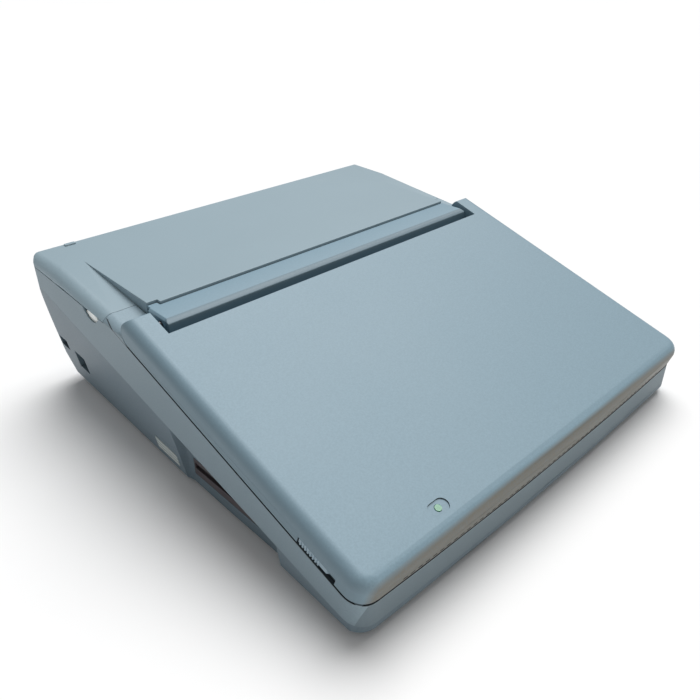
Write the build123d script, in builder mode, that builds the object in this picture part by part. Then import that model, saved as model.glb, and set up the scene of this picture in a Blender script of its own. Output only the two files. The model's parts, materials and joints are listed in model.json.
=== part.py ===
from build123d import *
import os
from math import asin, cos, pi, radians, sin, sqrt

# Portable word processor: a sloping keyboard case under a hinged display lid, with a printer behind.
# Millimetres. +X is the user's right, -Y the front, +Z up. The origin is on the table, under the
# middle of the whole machine.

# ---------------------------------------------------------------- driving sizes
# case
width = 350.0
depth = 366.0
wall = 2.5
foot_height = 2.5
foot_radius = 9.0
rim_height = 24.6            # case bottom to the lid's rim, at the front corners
front_bow = 3.0              # how far the front edge swells forward in the middle
corner_radius = 13.0
rear_corner_radius = 8.0
crease_front_height = 7.7    # crease above the case bottom at the front
crease_slope = 0.222
side_lean = 0.15             # how far the side draws in per millimetre below the crease
bottom_chamfer = 4.0
rear_undercut = (12.0, 20.0)
deck_depth = 3.5             # keyboard deck below the lid's rim
rim_width = 6.0
seam_gap = 0.8
cover_gap = 0.5

# lid
lid_slope = 17.2
lid_thickness = 17.3
lid_edge_radius = 8.0
lid_wall = 2.5
notch_run = 204.5            # from the front rim up the slope to the notch
notch_half_width = 156.0
hinge_run = 220.7            # from the front rim up the slope to the hinge axis
hinge_rise = 9.8             # hinge axis above the rim plane
hinge_pin_radius = 2.2
ear_reach = 9.5              # rear end of the lid's ears, from the hinge axis
ear_gap = 0.6
running_gap = 0.06           # radial clearance of a shaft that turns in its hole
fixed_gap = 0.02             # radial clearance of a pin that is held fast

# hinge bar
bar_half_length = 151.5
bar_top_height = 105.1       # above the case bottom
bar_front_y = 21.3
bar_rear_y = 46.3
bar_chamfer = (4.1, 2.3)
bar_wall = 2.0
seat_height = 85.5           # platform under the bar, above the case bottom

# printer cover
plate_half_width = 149.6
plate_front_y = 46.9
plate_front_height = 106.9
plate_slope = 0.0235
cover_cut_y = 66.3           # where the ridges stop, behind the fixed shoulders
cover_seam_height = 95.9
cover_seam_slope = 0.06
ridge_front_height = 100.2
ridge_merge_y = 142.0        # behind this the ridges are level with the plate
ridge_edge_width = 10.0
cover_edge_radius = 4.0
knuckle_radius = 2.4
cover_pin_radius = 1.2
cover_hinge_x = 143.5
cover_knuckle_length = 9.0
tab_width = 8.0              # tab of the bar in the plate's cut front corner
tab_depth = 4.0

# keyboard
key_pitch = 19.0
key_gap = 1.0
key_height = 7.5
key_top_drop = 1.5           # key tops below the rim plane
key_travel = 3.0
stem_spare = 1.8             # stem still above the keyboard base when a key is down
key_taper = 12.0
stem_radius = 2.0
stem_gap = 0.3
first_row_run = 20.0
keyboard_plate = 2.0

# display
panel_width = 213.0
panel_height = 160.0
panel_run = 106.0            # middle of the display from the front rim

# printer
platen_y = 86.0
platen_height = 85.5
platen_radius = 9.0
platen_length = 230.0
shaft_radius = 3.0
knob_radius = 11.5
knob_skin = 1.0              # what is left of the side wall over the knob's pocket
chassis_half_width = 139.0
chassis_sheet = 2.0
chassis_floor = 37.5
chassis_top = 95.5
chassis_front_y = 56.0
chassis_rear_y = 168.0
gear_module = 1.0
platen_teeth = 32
idler_teeth = 24
pinion_teeth = 12
gear_width = 5.0
gear_line_angle = -20.0      # direction of the gear train from the platen
pinch_radius = 5.0
pinch_shaft_radius = 1.5
pinch_angle = -60.0
nip_gap = 0.3
pinch_pivot = (112.0, 63.5)
rod_y = 63.0
rod_height = 61.5
rod_radius = 4.0
lower_rod_drop = 14.0
lower_rod_radius = 3.0
carriage_home_x = -90.0
carriage_length = 44.0
belt_height = 54.5
belt_y = 51.0
belt_width = 3.0
belt_thickness = 1.0
pulley_radius = 6.0
pulley_x = 150.0
head_pivot_height = 77.5
lever_pivot = (118.0, 81.5)

# disk drive, sockets and boards
drive_y = -58.5
drive_width = 101.6
drive_depth = 130.0
drive_height = 17.5
slot_width = 90.6            # a 3.5 inch disk is 90 wide
slot_height = 4.4
recess_x = 165.5             # face of the side scoop, from the middle
front_ramp = 7.5             # S-shaped ends of the scoop
rear_ramp = 11.0
line_socket_at = (171.0, 34.0)
line_socket_size = (15.0, 9.0)
jack_pocket_at = (142.5, 27.5)
jack_pocket_size = (18.0, 15.0)
jack_at = (146.0, 25.0)
jack_radius = 4.6
socket_body = 13.0
pocket_back_x = 160.0         # floor of the socket pockets, from the middle
faceplate_half_width = 46.6
faceplate_gap = 0.2
board_thickness = 1.6
board_height = 6.5           # underside of the boards above the case bottom

# ---------------------------------------------------------------- derived places
half_width = width / 2
half_depth = depth / 2
base = foot_height
slope_cos = cos(radians(lid_slope))
slope_sin = sin(radians(lid_slope))
overhang = lid_edge_radius * (1 - slope_cos) + (lid_thickness - lid_edge_radius) * slope_sin
rim_y = -half_depth + front_bow + overhang
rim_z = base + rim_height
rear_y = half_depth - knuckle_radius
bar_top = base + bar_top_height
seat_z = base + seat_height
platen_z = base + platen_height
ear_top = lid_thickness - hinge_rise
stem_length = key_travel + stem_spare
lid_frame = Plane(origin=(0, rim_y, rim_z), x_dir=(1, 0, 0), z_dir=(0, -slope_sin, slope_cos))
sky = base + 140.0           # a height above everything


def lid_point(run, rise):
    """(y, z) of a point given by its run up the slope and its rise off the rim plane."""
    return (rim_y + run * slope_cos - rise * slope_sin, rim_z + run * slope_sin + rise * slope_cos)


hinge_y, hinge_z = lid_point(hinge_run, hinge_rise)


def crease_z(y):
    """Height of the crease, where the lower case meets the upper case."""
    return base + crease_front_height + crease_slope * (y - rim_y)


def cover_seam_z(y):
    return base + cover_seam_height + cover_seam_slope * (y - cover_cut_y)


def plate_z(y):
    return base + plate_front_height + plate_slope * (y - plate_front_y)


def ridge_z(y):
    """Top of the rounded ridges beside the plate: level with it at the rear, falling to the front."""
    if y >= ridge_merge_y:
        return plate_z(y)
    front = base + ridge_front_height
    return front + (plate_z(ridge_merge_y) - front) * (y - cover_cut_y) / (ridge_merge_y - cover_cut_y)


# ---------------------------------------------------------------- small helpers
def block(low, high, mode=Mode.ADD, frame=Plane.XY):
    """Box between two corners, in the frame's own coordinates."""
    size = [b - a for a, b in zip(low, high)]
    middle = [(a + b) / 2 for a, b in zip(low, high)]
    with Locations(frame * Location(tuple(middle))):
        Box(*size, mode=mode)


def rod(start, end, radius, mode=Mode.ADD):
    """Round bar between two points."""
    line = Vector(*end) - Vector(*start)
    with BuildSketch(Plane(origin=start, z_dir=line)) as section:
        Circle(radius)
    extrude(section.sketch, amount=line.length, mode=mode)


def prism_x(points, x_low, x_high, mode=Mode.ADD):
    """Outline in the (y, z) plane, carried along X."""
    with BuildSketch(Plane.YZ.offset(x_low)) as section:
        Polygon(*points, align=None)
    extrude(section.sketch, amount=x_high - x_low, mode=mode)


def prism_z(points, z_low, z_high, mode=Mode.ADD):
    """Outline in plan, carried upwards."""
    with BuildSketch(Plane.XY.offset(z_low)) as section:
        Polygon(*points, align=None)
    extrude(section.sketch, amount=z_high - z_low, mode=mode)


def slope_section(x):
    """Plane at x whose own axes run up the lid's slope and off it."""
    corner = lid_frame.from_local_coords(Vector(x, 0, 0))
    return Plane(origin=corner, x_dir=lid_frame.y_dir, z_dir=(1, 0, 0))


def finish(builder, name):
    builder.part.label = name
    export_step(builder.part, f"parts/{name}.step")


def plan_face(inset):
    """Plan of the case, set in from the outside."""
    side = half_width - inset
    front = rim_y + inset
    back = rear_y - inset
    with BuildSketch() as plan:
        with BuildLine():
            Line((-side, back), (-side, front))
            ThreePointArc((-side, front), (0, front - front_bow), (side, front))
            Line((side, front), (side, back))
            Line((side, back), (-side, back))
        make_face()
        fillet(plan.vertices().group_by(Axis.Y)[0], corner_radius - inset)
        fillet(plan.vertices().group_by(Axis.Y)[-1], rear_corner_radius - inset)
    return plan.sketch


def side_wall_plane(side, inset):
    """Plane of the leaning wall below the crease, facing inwards."""
    normal = Vector(-side, -side_lean * crease_slope, side_lean).normalized()
    start = Vector(side * half_width, rim_y, crease_z(rim_y)) + normal * inset
    return Plane(origin=start, z_dir=normal)


def hull(inset):
    """Outer form of the whole case, or the same form set in by a wall."""
    floor = base + inset
    with BuildPart() as form:
        with BuildSketch(Plane.XY.offset(floor)):
            add(plan_face(inset))
        extrude(amount=sky - floor)
        bevel = bottom_chamfer - inset * (2 - sqrt(2))
        chamfer(form.faces().sort_by(Axis.Z)[0].edges(), bevel)
        for side in (-1, 1):
            side_wall = side_wall_plane(side, inset)
            split(bisect_by=side_wall, keep=Keep.TOP)
            drawn_in = side_lean * (crease_z(rim_y) - floor) + inset + bevel
            corner = Vector(side * (half_width - drawn_in), rim_y, floor)
            split(bisect_by=Plane(origin=corner, z_dir=side_wall.z_dir + Vector(0, 0, 1)), keep=Keep.TOP)
        run, rise = rear_undercut
        lean = Vector(0, -rise, run).normalized()
        start = Vector(0, rear_y, base + rise) + lean * inset
        split(bisect_by=Plane(origin=start, z_dir=lean), keep=Keep.TOP)
    return form.part


def ridge_section(side, y, drop, floor_z):
    """Cross-section of a ridge or shoulder at y, its wall lowered and drawn in by drop."""
    outer = side * (half_width - drop)
    shelf = side * (half_width - ridge_edge_width)
    inner = side * (plate_half_width - 2 * wall)
    low = cover_seam_z(y) if drop == 0 else cover_seam_z(y) - wall
    high = ridge_z(y) - drop
    swell = (shelf + (outer - shelf) * cos(pi / 4), low + (high - low) * sin(pi / 4))
    with BuildSketch(Plane(origin=(0, y, 0), x_dir=(1, 0, 0), z_dir=(0, -1, 0))) as section:
        with BuildLine():
            Line((inner, floor_z), (inner, high))
            Line((inner, high), (shelf, high))
            ThreePointArc((shelf, high), swell, (outer, low))
            Line((outer, low), (outer, floor_z))
            Line((outer, floor_z), (inner, floor_z))
        make_face()
    return section.sketch


def ridge_form(side, stations, drop, floor_z):
    """Ridge lofted through its cross-sections."""
    with BuildPart() as form:
        for front, back in zip(stations, stations[1:]):
            loft([ridge_section(side, front, drop, floor_z), ridge_section(side, back, drop, floor_z)],
                 ruled=True)
    return form.part


def ear_profile(gap):
    """Lid seen along X: a long slab whose rear end is rounded about the hinge axis."""
    top, end, low = ear_top + gap, ear_reach + gap, hinge_rise + gap
    heel = sqrt(low**2 - end**2)
    crown = asin(top / end)
    with BuildSketch() as profile:
        with BuildLine():
            Line((-40, -gap), (hinge_run, -gap))
            dip = (hinge_run + low * sin(pi / 8), hinge_rise - low * cos(pi / 8))
            ThreePointArc((hinge_run, -gap), dip, (hinge_run + end, hinge_rise - heel))
            Line((hinge_run + end, hinge_rise - heel), (hinge_run + end, hinge_rise))
            bulge = (hinge_run + end * cos(crown / 2), hinge_rise + end * sin(crown / 2))
            brow = (hinge_run + end * cos(crown), hinge_rise + top)
            ThreePointArc((hinge_run + end, hinge_rise), bulge, brow)
            Line(brow, (-40, hinge_rise + top))
            Line((-40, hinge_rise + top), (-40, -gap))
        make_face()
    return profile.sketch


def ear_prism(x_low, x_high, gap):
    with BuildPart() as form:
        with BuildSketch(slope_section(x_low)):
            add(ear_profile(gap))
        extrude(amount=x_high - x_low)
    return form.part


def gear_face(teeth, bore):
    """Plain spur gear outline with straight-sided teeth."""
    pitch = gear_module * teeth / 2
    tip, root = pitch + 0.8 * gear_module, pitch - 1.15 * gear_module
    step = 2 * pi / teeth
    with BuildSketch() as gear:
        Circle(root)
        points = [(root - 0.5, -0.30 * step), (pitch, -0.21 * step), (tip, -0.11 * step),
                  (tip, 0.11 * step), (pitch, 0.21 * step), (root - 0.5, 0.30 * step)]
        with PolarLocations(0, teeth):
            Polygon(*[(r * cos(a), r * sin(a)) for r, a in points], align=None)
        Circle(bore, mode=Mode.SUBTRACT)
    return gear.sketch


os.makedirs("parts", exist_ok=True)

# ---------------------------------------------------------------- case
scoop_half_flat = faceplate_half_width + faceplate_gap + 0.3
scoop_front = drive_y - scoop_half_flat - front_ramp
scoop_rear = drive_y + scoop_half_flat + rear_ramp


def scoop(inset, floor_z):
    """Finger scoop in the left side, with an S-shaped ramp at each end of its flat face."""
    outside, edge, face = -half_width - 5, -half_width - 0.6, -recess_x + inset
    front, rear = scoop_front - inset, scoop_rear + inset
    with BuildPart() as form:
        with BuildSketch(Plane.XY.offset(floor_z)):
            with BuildLine():
                Line((outside, rear), (outside, front))
                Line((outside, front), (edge, front))
                Spline((edge, front), (face, front + front_ramp), tangents=((0, 1), (0, 1)))
                Line((face, front + front_ramp), (face, rear - rear_ramp))
                Spline((face, rear - rear_ramp), (edge, rear), tangents=((0, 1), (0, 1)))
                Line((edge, rear), (outside, rear))
            make_face()
        extrude(amount=sky - floor_z)
    return form.part


chassis_posts = [(x, y) for x in (-125, 125) for y in (70, 160)]
board_posts = [(x, y) for x in (0, 140) for y in (-140, 20)]
power_posts = [(x, y) for x in (-140, -60) for y in (95, 145)]
front_screws = [(x, -150) for x in (-155, 155)]
middle_screws = [(x, 30) for x in (-155, 155)]
rear_screws = [(x, 159) for x in (-150, 150)]
front_boss, middle_boss, rear_boss = base + 9.5, base + 40, base + 60
post_radius = 4.0
screw_radius = 1.5
screw_head_radius = 3.2
drive_floor = base + 6.5
drive_top = drive_floor + drive_height
slot_z = drive_floor + 9.8
foot_places = [(x, y) for x in (-125, 125) for y in (-150, 145)]
foot_recess = 0.6
screw_posts = [(place, front_boss) for place in front_screws]
screw_posts += [(place, middle_boss) for place in middle_screws]
screw_posts += [(place, rear_boss) for place in rear_screws]
under_deck = deck_depth + wall
deck_end_run = notch_run + 0.6
seat_front_y = bar_front_y - 1.8
bay_front_y = bar_rear_y + 3.2
shoulder_cut_y = cover_cut_y - cover_gap
ear_clear_run = hinge_run + ear_reach + ear_gap
ear_rear_y = lid_point(ear_clear_run, hinge_rise)[0]
shoulder_hollow_y = ear_rear_y + 2 * wall
keyboard_half_width = 7.5 * key_pitch + 2
keyboard_front_run = first_row_run - 1.5
keyboard_rear_run = first_row_run + 6 * key_pitch + 1.5
controls_run = 167.0
speaker_x = -115.0
speaker_radius = 25.0
dial_x = 100.0
dial_radius = 9.0
dial_width = 4.0
dial_rise = -10.0
dial_axle_radius = 1.5
power_x = 130.0
button_radius = 6.0
button_gap = 0.2
hook_slot_x = (163.8, 168.9)
hook_slot_run = (22.5, 39.0)
cover_hinge_z = cover_seam_z(rear_y) - cover_gap / 2 + 0.5


def under_slope(rise, run_low, run_high):
    """Side outline of everything below a plane parallel to the lid's rim."""
    front, back = lid_point(run_low, rise), lid_point(run_high, rise)
    return [(front[0], 0), front, back, (back[0], 0)]

with BuildPart() as lower_case:
    add(hull(0))
    with BuildPart(mode=Mode.PRIVATE) as hollow:
        add(hull(wall))
        add(scoop(wall, base), mode=Mode.SUBTRACT)
        for x, y in foot_places:
            rod((x, y, base), (x, y, base + wall + foot_recess), foot_radius + wall, Mode.SUBTRACT)
    add(hollow.part, mode=Mode.SUBTRACT)
    add(scoop(0, 0), mode=Mode.SUBTRACT)
    crease = Plane(origin=(0, rim_y, crease_z(rim_y)), z_dir=(0, -crease_slope, 1))
    split(bisect_by=crease, keep=Keep.BOTTOM)
    # posts that carry the printer chassis and the boards
    for x, y in chassis_posts:
        rod((x, y, base + 1), (x, y, base + chassis_floor), post_radius + 1)
        rod((x, y, base + chassis_floor - 7), (x, y, base + chassis_floor + 1), screw_radius + fixed_gap,
            Mode.SUBTRACT)
    for x, y in board_posts + power_posts:
        rod((x, y, base + 1), (x, y, base + board_height), post_radius)
    for (x, y), top in screw_posts:
        rod((x, y, base + 1), (x, y, top), post_radius)
        rod((x, y, base - 1), (x, y, top + 1), screw_radius + fixed_gap, Mode.SUBTRACT)
        rod((x, y, base - 1), (x, y, base + 3.5), screw_head_radius + 0.3, Mode.SUBTRACT)
    # seats for the feet
    for x, y in foot_places:
        rod((x, y, 0), (x, y, base + foot_recess), foot_radius + fixed_gap, Mode.SUBTRACT)
    # ribs under the disk drive
    for y in (drive_y - 40, drive_y + 40):
        block((-150, y - 1, base + 1), (-45, y + 1, drive_floor))
    # opening for the drive's faceplate
    half_hole = faceplate_half_width + faceplate_gap
    block((-half_width, drive_y - half_hole, drive_floor + 2),
          (-recess_x + wall + 1, drive_y + half_hole, drive_top - 2), Mode.SUBTRACT)
    # line socket and power jack pockets, each with a floor behind it
    for (y, z), (long, tall) in ((line_socket_at, line_socket_size), (jack_pocket_at, jack_pocket_size)):
        centre_z = base + z
        block((-pocket_back_x - 5.2, y - long / 2 - 2, centre_z - tall / 2 - 2),
              (-pocket_back_x + 2, y + long / 2 + 2, centre_z + tall / 2 + 2))
        block((-half_width, y - long / 2, centre_z - tall / 2),
              (-pocket_back_x, y + long / 2, centre_z + tall / 2), Mode.SUBTRACT)
    y, z = line_socket_at[0], base + line_socket_at[1]
    block((-pocket_back_x - 1, y - 5.7, z - 3.5), (-pocket_back_x + 3, y + 5.7, z + 3.5), Mode.SUBTRACT)
    y, z = jack_at[0], base + jack_at[1]
    rod((-pocket_back_x - 1, y, z), (-pocket_back_x + 3, y, z), jack_radius, Mode.SUBTRACT)
    # two shallow notches under the front edge
    for x in (-70.5, 54.0):
        block((x - 8, rim_y - front_bow - 1, base - 1), (x + 8, rim_y + 5, base + 2.2), Mode.SUBTRACT)
finish(lower_case, "lower_case")

with BuildPart() as upper_case:
    with BuildPart(mode=Mode.PRIVATE) as kept:
        prism_x(under_slope(-seam_gap, -20, hinge_run), -half_width, half_width)
        for side in (-1, 1):
            add(ridge_form(side, (lid_point(hinge_run, 0)[0] - 2, shoulder_cut_y), 0, 0))
        rear_top = [(shoulder_cut_y - 1, 0), (shoulder_cut_y - 1, cover_seam_z(shoulder_cut_y) - cover_gap),
                    (half_depth, cover_seam_z(half_depth) - cover_gap), (half_depth, 0)]
        prism_x(rear_top, -half_width, half_width)
        block((-bar_half_length - 1, seat_front_y, 0), (bar_half_length + 1, bay_front_y, seat_z))
    add(hull(0))
    add(kept.part, mode=Mode.INTERSECT)
    split(bisect_by=Plane(origin=(0, rim_y, crease_z(rim_y)), z_dir=(0, -crease_slope, 1)), keep=Keep.TOP)
    # level seat for the hinge bar, and the open printer bay behind it
    block((-bar_half_length - 1, seat_front_y, seat_z), (bar_half_length + 1, shoulder_cut_y + 1, sky),
          Mode.SUBTRACT)
    # rounded pockets that the lid's ears turn in
    for x in (-half_width - 1, bar_half_length + 0.9):
        add(ear_prism(x, x + half_width - bar_half_length + 0.1, ear_gap), mode=Mode.SUBTRACT)
    # hollow inside
    with BuildPart(mode=Mode.PRIVATE) as hollow:
        under = [lid_point(-20, -under_deck), lid_point(hinge_run - 30, -under_deck)]
        level_z = seat_z - wall
        level_y = rim_y + (level_z - lid_point(0, -under_deck)[1]) * slope_cos / slope_sin
        prism_x([(under[0][0], 0), under[0], (level_y, level_z), (bay_front_y - wall, level_z),
                 (bay_front_y - wall, 0)], -half_width, half_width)
        block((-half_width, bay_front_y - wall - 1, 0), (half_width, bay_front_y + 1, base + 58))
        for side in (-1, 1):
            near, far = sorted((side * bar_half_length, side * half_width))
            block((near, bay_front_y - wall - 1, 0), (far, shoulder_cut_y + wall + 1, level_z))
        block((-bar_half_length, bay_front_y, 0), (bar_half_length, half_depth, sky))
        block((-half_width, shoulder_cut_y + wall, 0), (half_width, half_depth, sky))
        shoulder_low = ridge_z(shoulder_hollow_y) - wall - 1
        for side in (-1, 1):
            ends = sorted((side * (bar_half_length + wall), side * half_width))
            prism_x([(shoulder_hollow_y, 0), (shoulder_hollow_y, shoulder_low),
                     (half_depth, shoulder_low), (half_depth, 0)], *ends)
    with BuildPart(mode=Mode.PRIVATE) as room:
        add(hull(wall))
        add(hollow.part, mode=Mode.INTERSECT)
    add(room.part, mode=Mode.SUBTRACT)
    # sunken deck inside the rim, and the keyboard opening
    block((-half_width + rim_width, rim_width, -deck_depth), (half_width - rim_width, deck_end_run, 10),
          Mode.SUBTRACT, lid_frame)
    block((-keyboard_half_width, keyboard_front_run, -20), (keyboard_half_width, keyboard_rear_run, 5),
          Mode.SUBTRACT, lid_frame)
    # speaker grille, dial slot, button hole and the slots that the latch hooks drop into
    for step in range(-3, 4):
        run = controls_run + step * 5
        block((speaker_x - 18, run - 1, -20), (speaker_x + 18, run + 1, 5), Mode.SUBTRACT, lid_frame)
    block((dial_x - dial_width / 2 - 0.5, controls_run - dial_radius, -20),
          (dial_x + dial_width / 2 + 0.5, controls_run + dial_radius, 5), Mode.SUBTRACT, lid_frame)
    for side in (-1, 1):
        near, far = sorted(side * x for x in (dial_width / 2 + 0.7, dial_width / 2 + 2.7))
        block((dial_x + near, controls_run - 4, dial_rise - 4),
              (dial_x + far, controls_run + 4, -under_deck + 1), frame=lid_frame)
    axle = [lid_frame.from_local_coords(Vector(dial_x + x, controls_run, dial_rise)) for x in (-9, 9)]
    rod(axle[0], axle[1], dial_axle_radius + running_gap, Mode.SUBTRACT)
    hole = [lid_frame.from_local_coords(Vector(power_x, controls_run, w)) for w in (-20, 5)]
    rod(hole[0], hole[1], button_radius + button_gap, Mode.SUBTRACT)
    for side in (-1, 1):
        near, far = sorted(side * x for x in hook_slot_x)
        block((near, hook_slot_run[0], -20), (far, hook_slot_run[1], 5), Mode.SUBTRACT, lid_frame)
    # screw posts
    for (x, y), low in screw_posts:
        top = min(lid_point(0, -under_deck)[1] + (y - rim_y) * slope_sin / slope_cos, seat_z - wall) + 1
        if y > shoulder_cut_y:
            back = rear_y - wall - 0.4
            block((x - post_radius, y - post_radius, low), (x + post_radius, back, base + 98))
            block((x - post_radius, y, crease_z(rear_y) + 1), (x + post_radius, rear_y - 1, base + 98))
        else:
            rod((x, y, low), (x, y, top), post_radius)
        rod((x, y, low - 1), (x, y, low + 9), screw_radius + fixed_gap, Mode.SUBTRACT)
    # inner faces of the shoulders, close beside the cover's plate
    with BuildPart(mode=Mode.PRIVATE) as cheeks:
        for side in (-1, 1):
            add(ridge_form(side, (bay_front_y, shoulder_cut_y), 0, seat_z - wall))
        inner_x = plate_half_width + cover_gap
        block((-inner_x, 0, 0), (inner_x, half_depth, sky), Mode.SUBTRACT)
        for low, high in ((-half_width - 1, -bar_half_length - 1.5), (bar_half_length + 1.5, half_width + 1)):
            block((low, 0, 0), (high, half_depth, sky), Mode.SUBTRACT)
    add(cheeks.part)
    # half-moon notch that shows the platen knob, and the knob's pocket behind it
    notch_y, notch_chord, notch_drop = platen_y - 2, 22.0, 7.0
    notch_radius = (notch_chord**2 / 4 + notch_drop**2) / (2 * notch_drop)
    notch_z = cover_seam_z(notch_y) - cover_gap - notch_drop + notch_radius
    rod((-half_width - 1, notch_y, notch_z), (-half_width + wall + 1, notch_y, notch_z), notch_radius,
        Mode.SUBTRACT)
    rod((-half_width + knob_skin, platen_y, platen_z), (-half_width + wall + 1, platen_y, platen_z),
        knob_radius + 0.7, Mode.SUBTRACT)
    # hinge lugs for the printer cover
    for side in (-1, 1):
        middle = side * cover_hinge_x
        reach = cover_knuckle_length / 2 + 0.3
        block((middle - reach, rear_y - wall - 1, cover_hinge_z - knuckle_radius - 0.4),
              (middle + reach, rear_y + 1, sky), Mode.SUBTRACT)
        for low in (middle - reach - 3.2, middle + reach):
            rod((low, rear_y, cover_hinge_z), (low + 3.2, rear_y, cover_hinge_z), knuckle_radius)
        rod((middle - 12, rear_y, cover_hinge_z), (middle + 12, rear_y, cover_hinge_z),
            cover_pin_radius + fixed_gap, Mode.SUBTRACT)
finish(upper_case, "upper_case")

with BuildPart() as hinge_bar:
    front_bevel = [(bar_front_y, bar_top - bar_chamfer[1]), (bar_front_y + bar_chamfer[0], bar_top)]
    prism_x([(bar_front_y - 0.8, seat_z), *front_bevel, (bar_rear_y, bar_top), (bar_rear_y, seat_z)],
            -bar_half_length, bar_half_length)
    for end in (0, -1):
        chamfer(hinge_bar.faces().sort_by(Axis.X)[end].edges().sort_by(Axis.Z)[-1], 1.5)
    inner_low = (bar_front_y + bar_wall - 0.8, seat_z - 1)
    prism_x([inner_low, (bar_front_y + bar_wall, bar_top - bar_chamfer[1] - 1.2),
             (bar_front_y + bar_chamfer[0] + 0.8, bar_top - bar_wall),
             (bar_rear_y - bar_wall, bar_top - bar_wall), (bar_rear_y - bar_wall, seat_z - 1)],
            -bar_half_length + bar_wall, bar_half_length - bar_wall, Mode.SUBTRACT)
    rod((-half_width, hinge_y, hinge_z), (half_width, hinge_y, hinge_z), hinge_pin_radius + 0.4,
        Mode.SUBTRACT)
    # small tab that fills the cut corner of the cover's plate
    block((-plate_half_width, bar_rear_y - 1, bar_top - bar_wall),
          (-plate_half_width + tab_width - cover_gap, plate_front_y + tab_depth - cover_gap, bar_top))
finish(hinge_bar, "hinge_bar")

# ---------------------------------------------------------------- printer cover
def cover_form(drop):
    """Outer form of the printer cover, or the same form set in by a wall."""
    edge = plate_half_width - drop
    front, back = plate_front_y + drop, half_depth
    with BuildPart() as form:
        prism_x([(front, base + 90), (front, plate_z(front) - drop), (back, plate_z(back) - drop),
                 (back, base + 90)], -edge, edge)
        for side in (-1, 1):
            add(ridge_form(side, (cover_cut_y + drop, ridge_merge_y, half_depth), drop, base + 90))
        with BuildPart(mode=Mode.PRIVATE) as plan:
            with BuildSketch():
                add(plan_face(drop))
            extrude(amount=sky)
        add(plan.part, mode=Mode.INTERSECT)
        # rounded edge along the back
        with BuildPart(mode=Mode.PRIVATE) as side_view:
            with BuildSketch(Plane.YZ.offset(-half_width - 1)) as profile:
                back = rear_y - drop
                Polygon((front - 1, 0), (front - 1, sky), (back - 30, sky),
                        (back - 30, plate_z(back - 30) - drop), (back, plate_z(back) - drop), (back, 0),
                        align=None)
                corner = [v for v in profile.vertices() if abs(v.Y - back) < 0.01 and v.Z > base + 90]
                fillet(corner, cover_edge_radius - drop)
            extrude(amount=width + 2)
        add(side_view.part, mode=Mode.INTERSECT)
    return form.part


with BuildPart() as printer_cover:
    add(cover_form(0))
    add(cover_form(wall), mode=Mode.SUBTRACT)
    seam = Plane(origin=(0, cover_cut_y, cover_seam_z(cover_cut_y)), z_dir=(0, -cover_seam_slope, 1))
    split(bisect_by=seam, keep=Keep.TOP)
    # cut front corner, and the room for the platen knob
    block((-plate_half_width - 1, plate_front_y - 1, 0),
          (-plate_half_width + tab_width, plate_front_y + tab_depth, sky), Mode.SUBTRACT)
    rod((-half_width + knob_skin, platen_y, platen_z), (-half_width + 4 * wall, platen_y, platen_z),
        knob_radius + 0.7, Mode.SUBTRACT)
    # knuckles of the rear hinge, with room for the case's lugs beside them
    for side in (-1, 1):
        middle = side * cover_hinge_x
        reach = cover_knuckle_length / 2
        block((middle - reach - 3.9, rear_y - wall - 0.5, base + 80),
              (middle + reach + 3.9, rear_y + 1, cover_hinge_z + knuckle_radius + 0.4), Mode.SUBTRACT)
        rod((middle - reach, rear_y, cover_hinge_z), (middle + reach, rear_y, cover_hinge_z), knuckle_radius)
        block((middle - reach, rear_y - wall, cover_hinge_z),
              (middle + reach, rear_y, cover_hinge_z + knuckle_radius + 1))
        rod((middle - 12, rear_y, cover_hinge_z), (middle + 12, rear_y, cover_hinge_z),
            cover_pin_radius + running_gap, Mode.SUBTRACT)
    # small lug on the rear edge, by the left end of the plate
    block((-cover_hinge_x - 4.2, rear_y - 5, plate_z(rear_y) - 2),
          (-cover_hinge_x + 4.2, rear_y - 1.2, plate_z(rear_y) + 0.8))
finish(printer_cover, "printer_cover")

# ---------------------------------------------------------------- lid
slot_pitch = 5.8
slot_count = 50
latch_run = (19.5, 49.5)
latch_rise = 5.0
latch_travel = 5.5
indicator_x = -105.5
indicator_run = 14.0
indicator_size = (15.0, 9.0)
lens_radius = 2.2
panel_frame_border = 18.0
panel_frame_rise = (2.8, 9.2)
inverter_x = (139.0, 160.0)
inverter_run = (60.0, 150.0)
lid_ceiling = lid_thickness - lid_wall
bezel_rise = (0.6, 2.6)
ear_bore_end = half_width - 4.0


def lid_outline(inset):
    """Plan of the lid in its own plane."""
    side = half_width - inset
    with BuildSketch() as plan:
        with BuildLine():
            Line((-side, 240), (-side, inset))
            ThreePointArc((-side, inset), (0, inset - front_bow), (side, inset))
            Line((side, inset), (side, 240))
            Line((side, 240), (-side, 240))
        make_face()
        fillet(plan.vertices().group_by(Axis.Y)[0], corner_radius - inset)
    return plan.sketch


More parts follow.
